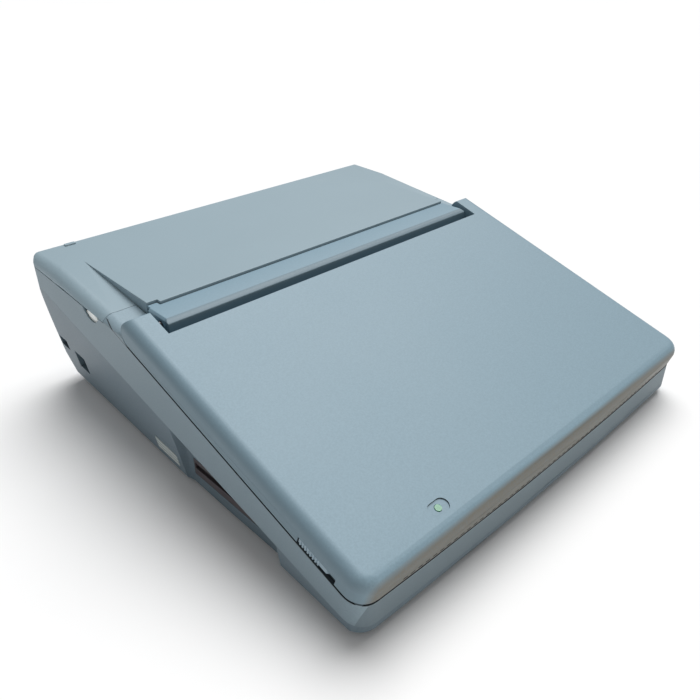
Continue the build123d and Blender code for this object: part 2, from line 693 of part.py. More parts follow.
with BuildPart() as lid_back_shell:
    with BuildSketch(lid_frame):
        add(lid_outline(0))
    extrude(amount=lid_thickness)
    top_face = lid_back_shell.faces().sort_by(Axis((0, 0, 0), lid_frame.z_dir))[-1]
    back_edge = top_face.edges().sort_by(Axis.Y)[-1]
    fillet([edge for edge in top_face.edges() if edge != back_edge], lid_edge_radius)
    add(ear_prism(-half_width - 1, half_width + 1, 0), mode=Mode.INTERSECT)
    block((-notch_half_width, notch_run, -10), (notch_half_width, 260, 40), Mode.SUBTRACT, lid_frame)
    with BuildPart(mode=Mode.PRIVATE) as hollow:
        with BuildSketch(lid_frame.offset(-5)):
            add(lid_outline(lid_wall))
        extrude(amount=lid_ceiling + 5)
        block((-half_width, notch_run - lid_wall, -10), (half_width, 260, 40), Mode.SUBTRACT, lid_frame)
        shelf = hollow.faces().sort_by(Axis((0, 0, 0), lid_frame.z_dir))[-1]
        front_edges = [edge for edge in shelf.edges() if edge != shelf.edges().sort_by(Axis.Y)[-1]]
        fillet(front_edges, lid_edge_radius - lid_wall)
    add(hollow.part, mode=Mode.SUBTRACT)
    # bores that turn on the hinge pins
    for side in (-1, 1):
        rod((side * (notch_half_width - 1), hinge_y, hinge_z), (side * ear_bore_end, hinge_y, hinge_z),
            hinge_pin_radius + running_gap, Mode.SUBTRACT)
    # posts that carry the display, the inverter and the bezel
    frame_half = panel_width / 2 + panel_frame_border
    for x in (-frame_half + 6, frame_half - 6):
        for run in (panel_run - panel_height / 2 - 4, panel_run + panel_height / 2 + 4):
            block((x - 3, run - 3, panel_frame_rise[1]), (x + 3, run + 3, lid_ceiling + 1), frame=lid_frame)
    for run in (inverter_run[0] + 8, inverter_run[1] - 8):
        block((inverter_x[0] + 3, run - 3, 6 + board_thickness),
              (inverter_x[0] + 9, run + 3, lid_ceiling + 1), frame=lid_frame)
    # latch slots in both side walls
    for side in (-1, 1):
        near, far = sorted(side * x for x in (half_width - lid_wall - 0.5, half_width + 1))
        block((near, latch_run[0], -1), (far, latch_run[1], latch_rise), Mode.SUBTRACT, lid_frame)
    # row of small slots along the front, just above the rim
    for step in range(slot_count):
        x = (step - (slot_count - 1) / 2) * slot_pitch
        face = -front_bow * (1 - (x / half_width)**2)
        block((x - 1.6, face - 2, 1.5), (x + 1.6, face + 1.2, 2.7), Mode.SUBTRACT, lid_frame)
    # recessed window over the indicator
    with BuildSketch(lid_frame.offset(lid_thickness - 0.8)):
        with Locations((indicator_x, indicator_run)):
            SlotOverall(*indicator_size)
    extrude(amount=5, mode=Mode.SUBTRACT)
    hole = [lid_frame.from_local_coords(Vector(indicator_x, indicator_run, w)) for w in (5, 30)]
    rod(hole[0], hole[1], lens_radius + 0.1, Mode.SUBTRACT)
finish(lid_back_shell, "lid_back_shell")

with BuildPart() as lid_bezel:
    with BuildSketch(lid_frame.offset(bezel_rise[0])):
        add(lid_outline(lid_wall + 0.15))
    extrude(amount=bezel_rise[1] - bezel_rise[0])
    block((-half_width, notch_run - lid_wall - 0.15, -5), (half_width, 260, 20), Mode.SUBTRACT, lid_frame)
    window = (panel_width / 2 - 2, panel_height / 2 - 2)
    block((-window[0], panel_run - window[1], -5), (window[0], panel_run + window[1], 20),
          Mode.SUBTRACT, lid_frame)
    for side in (-1, 1):
        near, far = sorted(side * x for x in (hook_slot_x[0] + 0.2, half_width))
        block((near, latch_run[0] - 3.5, -5), (far, latch_run[1] + 3.5, 20), Mode.SUBTRACT, lid_frame)
finish(lid_bezel, "lid_bezel")

with BuildPart() as display_frame:
    half_tall = panel_height / 2 + panel_frame_border / 2
    block((-frame_half, panel_run - half_tall, panel_frame_rise[0]),
          (frame_half, panel_run + half_tall, panel_frame_rise[1]), frame=lid_frame)
    block((-panel_width / 2 - 0.1, panel_run - panel_height / 2 - 0.1, 0),
          (panel_width / 2 + 0.1, panel_run + panel_height / 2 + 0.1, panel_frame_rise[0] + 1.4),
          Mode.SUBTRACT, lid_frame)
finish(display_frame, "display_frame")

with BuildPart() as display_panel:
    block((-panel_width / 2, panel_run - panel_height / 2, panel_frame_rise[0] + 0.2),
          (panel_width / 2, panel_run + panel_height / 2, panel_frame_rise[0] + 1.4), frame=lid_frame)
finish(display_panel, "display_panel")

with BuildPart() as lid_boards:
    board_rise = 6.0
    block((inverter_x[0], inverter_run[0], board_rise), (inverter_x[1], inverter_run[1],
          board_rise + board_thickness), frame=lid_frame)
    for run in (75, 100, 125):
        block((inverter_x[0] + 11, run, board_rise - 3), (inverter_x[0] + 19, run + 14, board_rise),
              frame=lid_frame)
    top = lid_ceiling - 2.5
    block((indicator_x - 16, indicator_run - 4, top - board_thickness),
          (indicator_x + 16, indicator_run + 4, top), frame=lid_frame)
    for x in (indicator_x - 14, indicator_x + 14):
        block((x - 2, indicator_run - 2, top), (x + 2, indicator_run + 2, lid_ceiling), frame=lid_frame)
finish(lid_boards, "lid_boards")

with BuildPart() as indicator_lens:
    ends = [lid_frame.from_local_coords(Vector(indicator_x, indicator_run, w))
            for w in (lid_ceiling - 2.5, lid_thickness - 0.5)]
    rod(ends[0], ends[1], lens_radius)
    flange = lid_frame.from_local_coords(Vector(indicator_x, indicator_run, lid_ceiling - 1.2))
    rod(ends[0], flange, lens_radius + 0.8)
finish(indicator_lens, "indicator_lens")

with BuildPart() as lid_bumpers:
    for x in (-158, 158):
        for run in (14, 188):
            top = lid_frame.from_local_coords(Vector(x, run, bezel_rise[0]))
            tip = lid_frame.from_local_coords(Vector(x, run, -deck_depth + 0.2))
            rod(top, tip, 3.5)
finish(lid_bumpers, "lid_bumpers")


def latch_slider(side):
    """Ribbed thumb slide in the lid's edge, with the hook that hangs into the case."""
    def span(inner, outer):
        return sorted((side * inner, side * outer))

    face, back = half_width - 0.9, half_width - lid_wall - 1.9
    rest = latch_run[0] + latch_travel + 0.2
    with BuildPart() as slider:
        low, high = span(half_width - lid_wall - 0.1, face)
        block((low, rest, 0.4), (high, latch_run[1] - 0.3, latch_rise - 0.3), frame=lid_frame)
        # smooth ramp at the front end
        ramp = slider.edges().filter_by(lambda e: abs(e.length - (latch_rise - 0.7)) < 0.01)
        front = ramp.sort_by(Axis((0, 0, 0), lid_frame.y_dir))[:2]
        chamfer(front.sort_by(Axis((0, 0, 0), (side, 0, 0)))[-1], 1.2)
        for rib in range(8):
            run = rest + 7 + rib * 2.1
            low, high = span(face - 0.4, half_width - 0.3)
            block((low, run, 0.4), (high, run + 1.0, latch_rise - 0.3), frame=lid_frame)
        # flange behind the wall, and the hook
        low, high = span(back, half_width - lid_wall - 0.1)
        block((low, latch_run[0] + 3, 0.4), (high, latch_run[1] + 2.5, latch_rise + 2), frame=lid_frame)
        low, high = span(hook_slot_x[0] + 0.7, back + 0.5)
        block((low, 30, 0.4), (high, 34, 3.2), frame=lid_frame)
        low, high = span(hook_slot_x[0] + 0.7, hook_slot_x[1] - 0.7)
        block((low, 30, -9.2), (high, 34, 3.2), frame=lid_frame)
        block((low, 30, -9.2), (high, 37, -6.8), frame=lid_frame)
    return slider


latch_slider_left = latch_slider(-1)
finish(latch_slider_left, "latch_slider_left")
latch_slider_right = latch_slider(1)
finish(latch_slider_right, "latch_slider_right")

bracket_x = (bar_half_length - 14.0, bar_half_length - bar_wall - 1.0)
with BuildPart() as hinge_pins:
    for side in (-1, 1):
        rod((side * (bracket_x[0] - 1), hinge_y, hinge_z), (side * (ear_bore_end - 0.5), hinge_y, hinge_z),
            hinge_pin_radius)
        middle = side * cover_hinge_x
        reach = cover_knuckle_length / 2 + 3.5
        rod((middle - reach, rear_y, cover_hinge_z), (middle + reach, rear_y, cover_hinge_z),
            cover_pin_radius)
finish(hinge_pins, "hinge_pins")

with BuildPart() as hinge_brackets:
    for side in (-1, 1):
        low, high = sorted(side * x for x in bracket_x)
        block((low, hinge_y - 4.5, seat_z), (high, hinge_y + 4.5, hinge_z - 1))
        block((low, hinge_y - 8, seat_z), (high, hinge_y + 11, seat_z + 2))
        rod((low, hinge_y, hinge_z - 1), (high, hinge_y, hinge_z - 1), 3.4)
        rod((low - 1, hinge_y, hinge_z), (high + 1, hinge_y, hinge_z), hinge_pin_radius + fixed_gap,
            Mode.SUBTRACT)
finish(hinge_brackets, "hinge_brackets")

# ---------------------------------------------------------------- keyboard
def key_edges(widths, start=-7.5):
    """Left and right ends of keys in a row, in key pitches from the middle."""
    edges = []
    for unit in widths:
        if unit > 0:
            edges.append((start, start + unit))
        start += abs(unit)
    return edges


row_run = [first_row_run + step * key_pitch for step in range(6)]
function_run = row_run[5] + 5.0
function_depth = 14.0
# each key is (left, right, run, run length), the ends in key pitches
letter_depth = key_pitch
bottom_row = key_edges([1.5, 1.0, 1.5, 6.0, 1.5, 1.0, 1.0, 1.5])
lower_row = key_edges([2.25] + [1.0] * 10 + [2.75])
home_row = key_edges([1.75] + [1.0] * 11 + [2.25])
upper_row = key_edges([1.5] + [1.0] * 12 + [1.5])
number_row = key_edges([1.0] * 13 + [2.0])
function_row = key_edges([1.0] + [-0.25] + [1.0] * 4 + [-0.25] + [1.0] * 4 + [-0.25] + [1.0] * 4 + [-0.25])

key_groups = {
    "space_bar": [(*bottom_row[3], row_run[0], letter_depth)],
    "lower_letter_keys": [(*ends, row_run[1], letter_depth) for ends in lower_row[1:11]],
    "home_letter_keys": [(*ends, row_run[2], letter_depth) for ends in home_row[1:12]],
    "upper_letter_keys": [(*ends, row_run[3], letter_depth) for ends in upper_row[1:13]],
    "number_keys": [(*ends, row_run[4], letter_depth) for ends in number_row[:13]],
    "function_keys": [(*ends, function_run, function_depth) for ends in function_row],
    "enter_key": [(*home_row[12], row_run[2], letter_depth)],
    "edit_keys": [(*upper_row[13], row_run[3], letter_depth), (*number_row[13], row_run[4], letter_depth)],
    "modifier_keys": [(*ends, row_run[0], letter_depth) for ends in bottom_row[:3]]
    + [(*ends, row_run[1], letter_depth) for ends in (lower_row[0], lower_row[11])]
    + [(*home_row[0], row_run[2], letter_depth), (*upper_row[0], row_run[3], letter_depth)],
    "cursor_keys": [(*ends, row_run[0], letter_depth) for ends in bottom_row[4:]],
}
cap_low = -key_top_drop - key_height
stem_low = cap_low - stem_length


def key_stems(key):
    """Places of the stems under one key, as (x, run)."""
    left, right, run, long = key
    middle = (left + right) / 2 * key_pitch
    if right - left > 4:
        return [(middle - 45, run + long / 2), (middle + 45, run + long / 2)]
    return [(middle, run + long / 2)]


with BuildPart() as keyboard_base:
    block((-7.9 * key_pitch, first_row_run - 6, stem_low - 0.7 + 1.0 - keyboard_plate),
          (7.9 * key_pitch, keyboard_rear_run + 6, stem_low + 0.3), frame=lid_frame)
    for x in (-7.7 * key_pitch, 7.7 * key_pitch):
        for run in (first_row_run - 3, row_run[3] - 1, keyboard_rear_run + 3):
            ends = [lid_frame.from_local_coords(Vector(x, run, w)) for w in (stem_low, -under_deck)]
            rod(ends[0], ends[1], 3.0)
    holes = [stem for keys in key_groups.values() for key in keys for stem in key_stems(key)]
    with BuildSketch(lid_frame.offset(stem_low + 1)) as pattern:
        with Locations(*holes):
            Circle(stem_radius + stem_gap)
    extrude(pattern.sketch, amount=-6, mode=Mode.SUBTRACT)
finish(keyboard_base, "keyboard_base")

for group, keys in key_groups.items():
    with BuildPart() as key_builder:
        for key in keys:
            left, right, run, long = key
            span = (right - left) * key_pitch - key_gap
            middle = (left + right) / 2 * key_pitch
            with BuildSketch(lid_frame * Location((middle, run + long / 2, cap_low))) as cap:
                RectangleRounded(span, long - key_gap, 1.2)
            extrude(cap.sketch, amount=key_height, taper=key_taper)
        for x, run in [stem for key in keys for stem in key_stems(key)]:
            ends = [lid_frame.from_local_coords(Vector(x, run, w)) for w in (stem_low, cap_low)]
            rod(ends[0], ends[1], stem_radius)
    finish(key_builder, group)

# ---------------------------------------------------------------- controls on the deck
with BuildPart() as power_button:
    foot, low, flange, face = [lid_frame.from_local_coords(Vector(power_x, controls_run, w))
                               for w in (-10, cap_low, -7.4, -key_top_drop)]
    rod(low, face, button_radius)
    rod(low, flange, button_radius + 1.5)
    rod(foot, low, stem_radius)
finish(power_button, "power_button")

switch_top = -12.2
with BuildPart() as power_switch:
    block((power_x - 7, controls_run - 7, switch_top - 9), (power_x + 7, controls_run + 7, switch_top),
          frame=lid_frame)
    for side in (-1, 1):
        near, far = sorted((side * 9.5, side * 12.5))
        block((power_x + near, controls_run - 5, switch_top - 6),
              (power_x + far, controls_run + 5, -under_deck), frame=lid_frame)
        near, far = sorted((side * 6.5, side * 12.5))
        block((power_x + near, controls_run - 5, switch_top - 6), (power_x + far, controls_run + 5,
              switch_top - 4), frame=lid_frame)
finish(power_switch, "power_switch")

with BuildPart() as contrast_dial:
    disc = [lid_frame.from_local_coords(Vector(dial_x + x, controls_run, dial_rise))
            for x in (-dial_width / 2, dial_width / 2)]
    rod(disc[0], disc[1], dial_radius - 0.4)
    pin = [lid_frame.from_local_coords(Vector(dial_x + x, controls_run, dial_rise)) for x in (-4.7, 4.7)]
    rod(pin[0], pin[1], dial_axle_radius)
    with BuildSketch(slope_section(dial_x - dial_width / 2)) as grips:
        with Locations((controls_run, dial_rise)):
            with PolarLocations(dial_radius - 0.6, 24):
                Rectangle(0.8, 1.0)
    extrude(grips.sketch, amount=dial_width)
finish(contrast_dial, "contrast_dial")

with BuildPart() as speaker:
    front, dish, rim, waist, back = [lid_frame.from_local_coords(Vector(speaker_x, controls_run, w))
                                     for w in (-under_deck, -7, -8, -13, -18)]
    rod(front, rim, speaker_radius)
    rod(rim, waist, 17.0)
    rod(waist, back, 12.0)
    rod(front, dish, speaker_radius - 3, Mode.SUBTRACT)
finish(speaker, "speaker")

# ---------------------------------------------------------------- boards, drive and sockets
with BuildPart() as mainboard:
    low = base + board_height
    top = low + board_thickness
    block((-10, -150, low), (150, 30, top))
    chips = [(12, -120, 30, 12, 4), (12, -90, 30, 12, 4), (12, -60, 30, 12, 4), (60, -110, 24, 24, 3.5),
             (60, -70, 24, 24, 3.5), (105, -120, 14, 34, 4), (105, -70, 14, 34, 4), (60, -25, 36, 12, 4),
             (110, -15, 20, 20, 3.5)]
    for x, y, long, deep, tall in chips:
        block((x, y, top), (x + long, y + deep, top + tall))
    for x in (-4, 142):
        rod((x, -5, top), (x, -5, top + 11), 3)
    block((20, 20, top), (80, 26, top + 8))
finish(mainboard, "mainboard")

with BuildPart() as power_board:
    block((-154, 88, low), (-52, 152, top))
    block((-130, 100, top), (-98, 130, top + 24))
    for y in (104, 118):
        rod((-84, y, top), (-84, y, top + 22), 5.5)
    rod((-70, 128, top), (-70, 128, top + 16), 4)
    block((-152, 134, top), (-112, 137, top + 20))
    block((-92, 138, top), (-72, 146, top + 9))
finish(power_board, "power_board")

drive_face_x = -recess_x
drive_back_x = drive_face_x + drive_depth
eject_y = drive_y - 37.5
door_hinge_z = slot_z + slot_height / 2 + 1.1
with BuildPart() as floppy_drive:
    case_x = drive_face_x + wall + 0.3
    block((case_x, drive_y - drive_width / 2, drive_floor),
          (drive_back_x, drive_y + drive_width / 2, drive_top))
    block((drive_face_x, drive_y - faceplate_half_width, drive_floor + 2.3),
          (case_x + 1, drive_y + faceplate_half_width, drive_top - 2.3))
    # tray the disk slides into, and the mouth in the faceplate
    block((drive_face_x - 1, drive_y - slot_width / 2, slot_z - slot_height / 2),
          (drive_face_x + 94, drive_y + slot_width / 2, slot_z + slot_height / 2), Mode.SUBTRACT)
    block((drive_face_x + 60, drive_y - 14, drive_floor + 1.2), (drive_face_x + 88, drive_y + 14, slot_z),
          Mode.SUBTRACT)
    # button opening
    block((drive_face_x - 1, eject_y - 4.5, drive_floor + 2.9),
          (drive_face_x + 14, eject_y + 4.5, slot_z - 3.2), Mode.SUBTRACT)
    # room for the door, hung from its top edge just inside the mouth
    block((drive_face_x + 0.8, drive_y - slot_width / 2, slot_z - slot_height / 2),
          (drive_face_x + 9.5, drive_y + slot_width / 2, door_hinge_z + 1.3), Mode.SUBTRACT)
    rod((drive_face_x + 2.4, drive_y - faceplate_half_width - 1, door_hinge_z),
        (drive_face_x + 2.4, drive_y + faceplate_half_width + 1, door_hinge_z), 0.8 + running_gap,
        Mode.SUBTRACT)
finish(floppy_drive, "floppy_drive")

with BuildPart() as drive_door:
    hang_x = drive_face_x + 2.4
    pin_end, leaf_end = slot_width / 2 + 1.0, slot_width / 2 - 0.4
    rod((hang_x, drive_y - pin_end, door_hinge_z), (hang_x, drive_y + pin_end, door_hinge_z), 0.8)
    block((hang_x - 0.6, drive_y - leaf_end, slot_z - slot_height / 2 + 0.2),
          (hang_x + 0.6, drive_y + leaf_end, door_hinge_z))
finish(drive_door, "drive_door")

with BuildPart() as drive_eject_button:
    block((drive_face_x - 1.6, eject_y - 4.2, drive_floor + 3.2),
          (drive_face_x + 8, eject_y + 4.2, slot_z - 3.5))
    fillet(drive_eject_button.faces().sort_by(Axis.X)[0].edges(), 0.5)
finish(drive_eject_button, "drive_eject_button")

with BuildPart() as power_jack:
    y, z = jack_at[0], base + jack_at[1]
    inner = -pocket_back_x
    block((inner + 2.1, y - 8, z - 7), (inner + socket_body, y + 8, z + 7))
    rod((inner - 1.0, y, z), (inner + 2.5, y, z), jack_radius - 0.1)
    rod((inner - 3, y, z), (inner + 9, y, z), 2.8, Mode.SUBTRACT)
    rod((inner - 0.6, y, z), (inner + 9.5, y, z), 0.9)
finish(power_jack, "power_jack")

with BuildPart() as line_socket:
    y, z = line_socket_at[0], base + line_socket_at[1]
    block((inner + 2.1, y - 6.5, z - 6.5), (inner + socket_body, y + 6.5, z + 5.5))
    block((inner - 0.2, y - 5.5, z - 3.3), (inner + 2.5, y + 5.5, z + 3.3))
    block((inner - 1, y - 4.4, z - 2.6), (inner + 9, y + 4.4, z + 2.4), Mode.SUBTRACT)
finish(line_socket, "line_socket")

with BuildPart() as label_plate:
    block((-half_width - 5, scoop_rear + 1, base + 9.5), (-half_width + 30, 29.5, base + 19.5))
    split(bisect_by=side_wall_plane(-1, -0.3), keep=Keep.TOP)
    split(bisect_by=side_wall_plane(-1, 0), keep=Keep.BOTTOM)
finish(label_plate, "label_plate")

with BuildPart() as rubber_feet:
    for x, y in foot_places:
        rod((x, y, 0), (x, y, base + foot_recess), foot_radius)
    chamfer(rubber_feet.faces().group_by(Axis.Z)[0].edges(), 0.6)
finish(rubber_feet, "rubber_feet")

with BuildPart() as screws:
    for (x, y), top in screw_posts:
        rod((x, y, base + 3.5), (x, y, top + 7), screw_radius)
        rod((x, y, base + 1.0), (x, y, base + 3.5), screw_head_radius)
        for turn in (0, 1):
            long, short = (2.0, 0.35) if turn else (0.35, 2.0)
            block((x - long, y - short, base + 0.5), (x + long, y + short, base + 1.8), Mode.SUBTRACT)
    for x, y in chassis_posts:
        top = base + chassis_floor + chassis_sheet
        rod((x, y, top), (x, y, top + 2), 3.5)
        rod((x, y, top - 8), (x, y, top), screw_radius)
finish(screws, "screws")

# ---------------------------------------------------------------- printer
side_inner = chassis_half_width - chassis_sheet
floor_z = base + chassis_floor
top_z = base + chassis_top
rod_z = base + rod_height
lower_rod_z = rod_z - lower_rod_drop
belt_z = base + belt_height
head_y, head_z = rod_y, base + head_pivot_height
lever_y, lever_z = lever_pivot[0], base + lever_pivot[1]
pivot_y, pivot_z = pinch_pivot[0], base + pinch_pivot[1]
platen_pitch = gear_module * platen_teeth / 2
idler_pitch = gear_module * idler_teeth / 2
pinion_pitch = gear_module * pinion_teeth / 2


def along_train(distance):
    """(y, z) of a point on the gear train's line, from the platen's axis."""
    angle = radians(gear_line_angle)
    return (platen_y + distance * cos(angle), platen_z + distance * sin(angle))


idler_y, idler_z = along_train(platen_pitch + idler_pitch)
pinion_y, pinion_z = along_train(platen_pitch + 2 * idler_pitch + pinion_pitch)
nip = platen_radius + nip_gap + pinch_radius
pinch_y = platen_y + nip * cos(radians(pinch_angle))
pinch_z = platen_z + nip * sin(radians(pinch_angle))
gear_x = side_inner + chassis_sheet + 1.0
cheek = 18.0
knob_x = (-half_width + knob_skin + nip_gap, -half_width + 11.5)
half_tooth = 180 / idler_teeth


def gear(teeth, place, turn, bore, x_low, width):
    """Spur gear round an axis along X, with one tooth (or gap) turned to face an angle."""
    facing = (0, cos(radians(turn)), sin(radians(turn)))
    plane = Plane(origin=(x_low, *place), x_dir=facing, z_dir=(1, 0, 0))
    with BuildSketch(plane) as face:
        add(gear_face(teeth, bore))
    extrude(face.sketch, amount=width)


with BuildPart() as printer_chassis:
    block((-side_inner, chassis_front_y + 4, floor_z), (side_inner, chassis_rear_y, floor_z + chassis_sheet))
    for side in (-1, 1):
        low, high = sorted((side * side_inner, side * chassis_half_width))
        profile = [(chassis_front_y, floor_z), (chassis_front_y, top_z - 16), (chassis_front_y + 16, top_z),
                   (120, top_z), (chassis_rear_y, floor_z + 22), (chassis_rear_y, floor_z)]
        prism_x(profile, low, high)
        low, high = sorted((side * side_inner, side * (chassis_half_width + 21)))
        block((low, chassis_front_y - 1, belt_z - 9), (high, chassis_front_y + 1, belt_z + 9))
        # bearings and pivots
        for (y, z), radius in (((platen_y, platen_z), shaft_radius + running_gap),
                               ((pivot_y, pivot_z), 2 + running_gap)):
            rod((side * (side_inner - 1), y, z), (side * (chassis_half_width + 1), y, z), radius,
                Mode.SUBTRACT)
        for (y, z), radius in (((rod_y, rod_z), rod_radius), ((rod_y, lower_rod_z), lower_rod_radius)):
            rod((side * (side_inner - 1), y, z), (side * (chassis_half_width + 1), y, z), radius + fixed_gap,
                Mode.SUBTRACT)
    rod((-chassis_half_width - 1, lever_y, lever_z), (-side_inner + 1, lever_y, lever_z), 2.5 + running_gap,
        Mode.SUBTRACT)
    # studs for the idle pulley and the idler gear
    rod((pulley_x, belt_y - 0.2, belt_z), (pulley_x, chassis_front_y, belt_z), 2.0)
    rod((side_inner, idler_y, idler_z), (gear_x + gear_width + 1.5, idler_y, idler_z), 2.0)
    # holes for the two motors' shafts
    rod((-pulley_x, chassis_front_y - 2, belt_z), (-pulley_x, chassis_front_y + 2, belt_z), 3.0,
        Mode.SUBTRACT)
    rod((side_inner - 1, pinion_y, pinion_z), (chassis_half_width + 1, pinion_y, pinion_z), 3.0,
        Mode.SUBTRACT)
    # screw holes over the posts
    for x, y in chassis_posts:
        rod((x, y, floor_z - 1), (x, y, floor_z + chassis_sheet + 1), 2.0, Mode.SUBTRACT)
finish(printer_chassis, "printer_chassis")

with BuildPart() as platen_shaft:
    rod((knob_x[0] + 2.2, platen_y, platen_z), (gear_x + gear_width + 1.0, platen_y, platen_z),
        shaft_radius)
finish(platen_shaft, "platen_shaft")

with BuildPart() as platen_roller:
    rod((-platen_length / 2, platen_y, platen_z), (platen_length / 2, platen_y, platen_z), platen_radius)
    rod((-platen_length / 2 - 1, platen_y, platen_z), (platen_length / 2 + 1, platen_y, platen_z),
        shaft_radius + fixed_gap, Mode.SUBTRACT)
finish(platen_roller, "platen_roller")

with BuildPart() as platen_knob:
    rod((knob_x[0], platen_y, platen_z), (knob_x[1], platen_y, platen_z), knob_radius - 0.6)
    with BuildSketch(Plane(origin=(knob_x[0], platen_y, platen_z), x_dir=(0, 1, 0), z_dir=(1, 0, 0))) as grips:
        with PolarLocations(knob_radius - 0.7, 36):
            Circle(0.7)
    extrude(grips.sketch, amount=knob_x[1] - knob_x[0])
    rod((knob_x[0] + 2, platen_y, platen_z), (knob_x[1] + 1, platen_y, platen_z), shaft_radius + fixed_gap,
        Mode.SUBTRACT)
finish(platen_knob, "platen_knob")

with BuildPart() as platen_gear:
    gear(platen_teeth, (platen_y, platen_z), gear_line_angle, shaft_radius + fixed_gap, gear_x, gear_width)
finish(platen_gear, "platen_gear")

with BuildPart() as idler_gear:
    gear(idler_teeth, (idler_y, idler_z), gear_line_angle + 180 + half_tooth, 2 + running_gap, gear_x,
         gear_width)
finish(idler_gear, "idler_gear")

with BuildPart() as feed_pinion:
    gear(pinion_teeth, (pinion_y, pinion_z), gear_line_angle + 180, 1.0, gear_x, gear_width)
    rod((side_inner - 5, pinion_y, pinion_z), (gear_x + gear_width + 1, pinion_y, pinion_z), 1.5)
finish(feed_pinion, "feed_pinion")

with BuildPart() as motors:
    rod((gear_x - 26, pinion_y, pinion_z), (side_inner - 0.4, pinion_y, pinion_z), 14.0)
    rod((side_inner - 5.5, pinion_y, pinion_z), (side_inner, pinion_y, pinion_z), 1.5 + running_gap,
        Mode.SUBTRACT)
    rod((-pulley_x, chassis_front_y + 1.3, belt_z), (-pulley_x, chassis_front_y + 22, belt_z), 10.4)
    rod((-pulley_x, chassis_front_y + 1, belt_z), (-pulley_x, chassis_front_y + 6.5, belt_z), 1.5 + running_gap,
        Mode.SUBTRACT)
finish(motors, "motors")

pinch_places = (-85, -28, 28, 85)
with BuildPart() as pinch_frame:
    block((-136, 101, pivot_z - 4), (136, 115.5, pivot_z - 2))
    for side in (-1, 1):
        low, high = sorted((side * 104, side * 106))
        prism_x([(pinch_y - 4, pinch_z - 3), (pinch_y - 3, pinch_z + 3), (pinch_y + 4, pinch_z + 2),
                 (pivot_y + 2, pivot_z + 5), (pivot_y + 2, pivot_z - 3), (102, pivot_z - 3)], low, high)
        low, high = sorted((side * 132.5, side * 136))
        block((low, pivot_y - 3.5, pivot_z - 3), (high, pivot_y + 3.5, pivot_z + 3.5))
        rod((side * 134, pivot_y, pivot_z), (side * (chassis_half_width + 0.5), pivot_y, pivot_z), 2.0)
        rod((side * 103, pinch_y, pinch_z), (side * 107, pinch_y, pinch_z), pinch_shaft_radius + running_gap,
            Mode.SUBTRACT)
finish(pinch_frame, "pinch_frame")

with BuildPart() as pinch_rollers:
    rod((-107.5, pinch_y, pinch_z), (107.5, pinch_y, pinch_z), pinch_shaft_radius)
    for x in pinch_places:
        rod((x - 8, pinch_y, pinch_z), (x + 8, pinch_y, pinch_z), pinch_radius)
finish(pinch_rollers, "pinch_rollers")

with BuildPart() as release_lever:
    prism_x([(lever_y - 4, lever_z - 4), (lever_y + 4, lever_z - 4), (lever_y + 4, lever_z + 15),
             (lever_y + 1, lever_z + 18), (lever_y - 4, lever_z + 18)], -side_inner + 1, -side_inner + 5)
    rod((-chassis_half_width - 0.5, lever_y, lever_z), (-side_inner + 1.5, lever_y, lever_z), 2.5)
    block((-side_inner + 1, lever_y - 5, lever_z + 15), (-side_inner + 9, lever_y + 4, lever_z + 18))
finish(release_lever, "release_lever")

with BuildPart() as guide_rods:
    rod((-chassis_half_width - 0.5, rod_y, rod_z), (chassis_half_width + 0.5, rod_y, rod_z), rod_radius)
    rod((-chassis_half_width - 0.5, rod_y, lower_rod_z), (chassis_half_width + 0.5, rod_y, lower_rod_z),
        lower_rod_radius)
finish(guide_rods, "guide_rods")

half_carriage = carriage_length / 2
with BuildPart() as carriage:
    block((carriage_home_x - half_carriage, 55.5, lower_rod_z - 5),
          (carriage_home_x + half_carriage, 69, rod_z + 8))
    block((carriage_home_x - half_carriage + 4, 54.6, lower_rod_z + 4),
          (carriage_home_x + half_carriage - 4, 69, rod_z - 5), Mode.SUBTRACT)
    for z, radius in ((rod_z, rod_radius), (lower_rod_z, lower_rod_radius)):
        rod((carriage_home_x - half_carriage - 1, rod_y, z), (carriage_home_x + half_carriage + 1, rod_y, z),
            radius + running_gap, Mode.SUBTRACT)
    for side in (-1, 1):
        low, high = sorted((side * cheek, side * (cheek + 2)))
        block((carriage_home_x + low, 55.5, rod_z + 7), (carriage_home_x + high, 69, base + 82.5))
    # arm that clamps the belt
    block((carriage_home_x - 5, belt_y, belt_z + pulley_radius + belt_thickness + 0.3),
          (carriage_home_x + 5, 58, belt_z + pulley_radius + belt_thickness + 3))
    rod((carriage_home_x - cheek - 3, head_y, head_z), (carriage_home_x + cheek + 3, head_y, head_z),
        1.5 + running_gap, Mode.SUBTRACT)
finish(carriage, "carriage")

with BuildPart() as print_head:
    block((carriage_home_x - 16, 58, head_z - 3.5), (carriage_home_x + 16, 69.5, head_z + 15))
    block((carriage_home_x - 8, 69, head_z + 4),
          (carriage_home_x + 8, platen_y - platen_radius - 0.9, head_z + 12))
    rod((carriage_home_x - cheek - 1.5, head_y, head_z), (carriage_home_x + cheek + 1.5, head_y, head_z),
        1.5)
    for step in range(6):
        y = 58.8 + step * 1.4
        block((carriage_home_x - 17, y, head_z + 6), (carriage_home_x + 17, y + 0.7, head_z + 14))
finish(print_head, "print_head")

with BuildPart() as ribbon_cassette:
    cassette_z = base + 82.5
    block((carriage_home_x - 36, 50.5, cassette_z), (carriage_home_x + 36, 72, cassette_z + 15))
    block((carriage_home_x - 17.8, 57.2, cassette_z - 1), (carriage_home_x + 17.8, 73, cassette_z + 16),
          Mode.SUBTRACT)
    rod((carriage_home_x + 27, 61, cassette_z + 14), (carriage_home_x + 27, 61, cassette_z + 17), 5)
finish(ribbon_cassette, "ribbon_cassette")

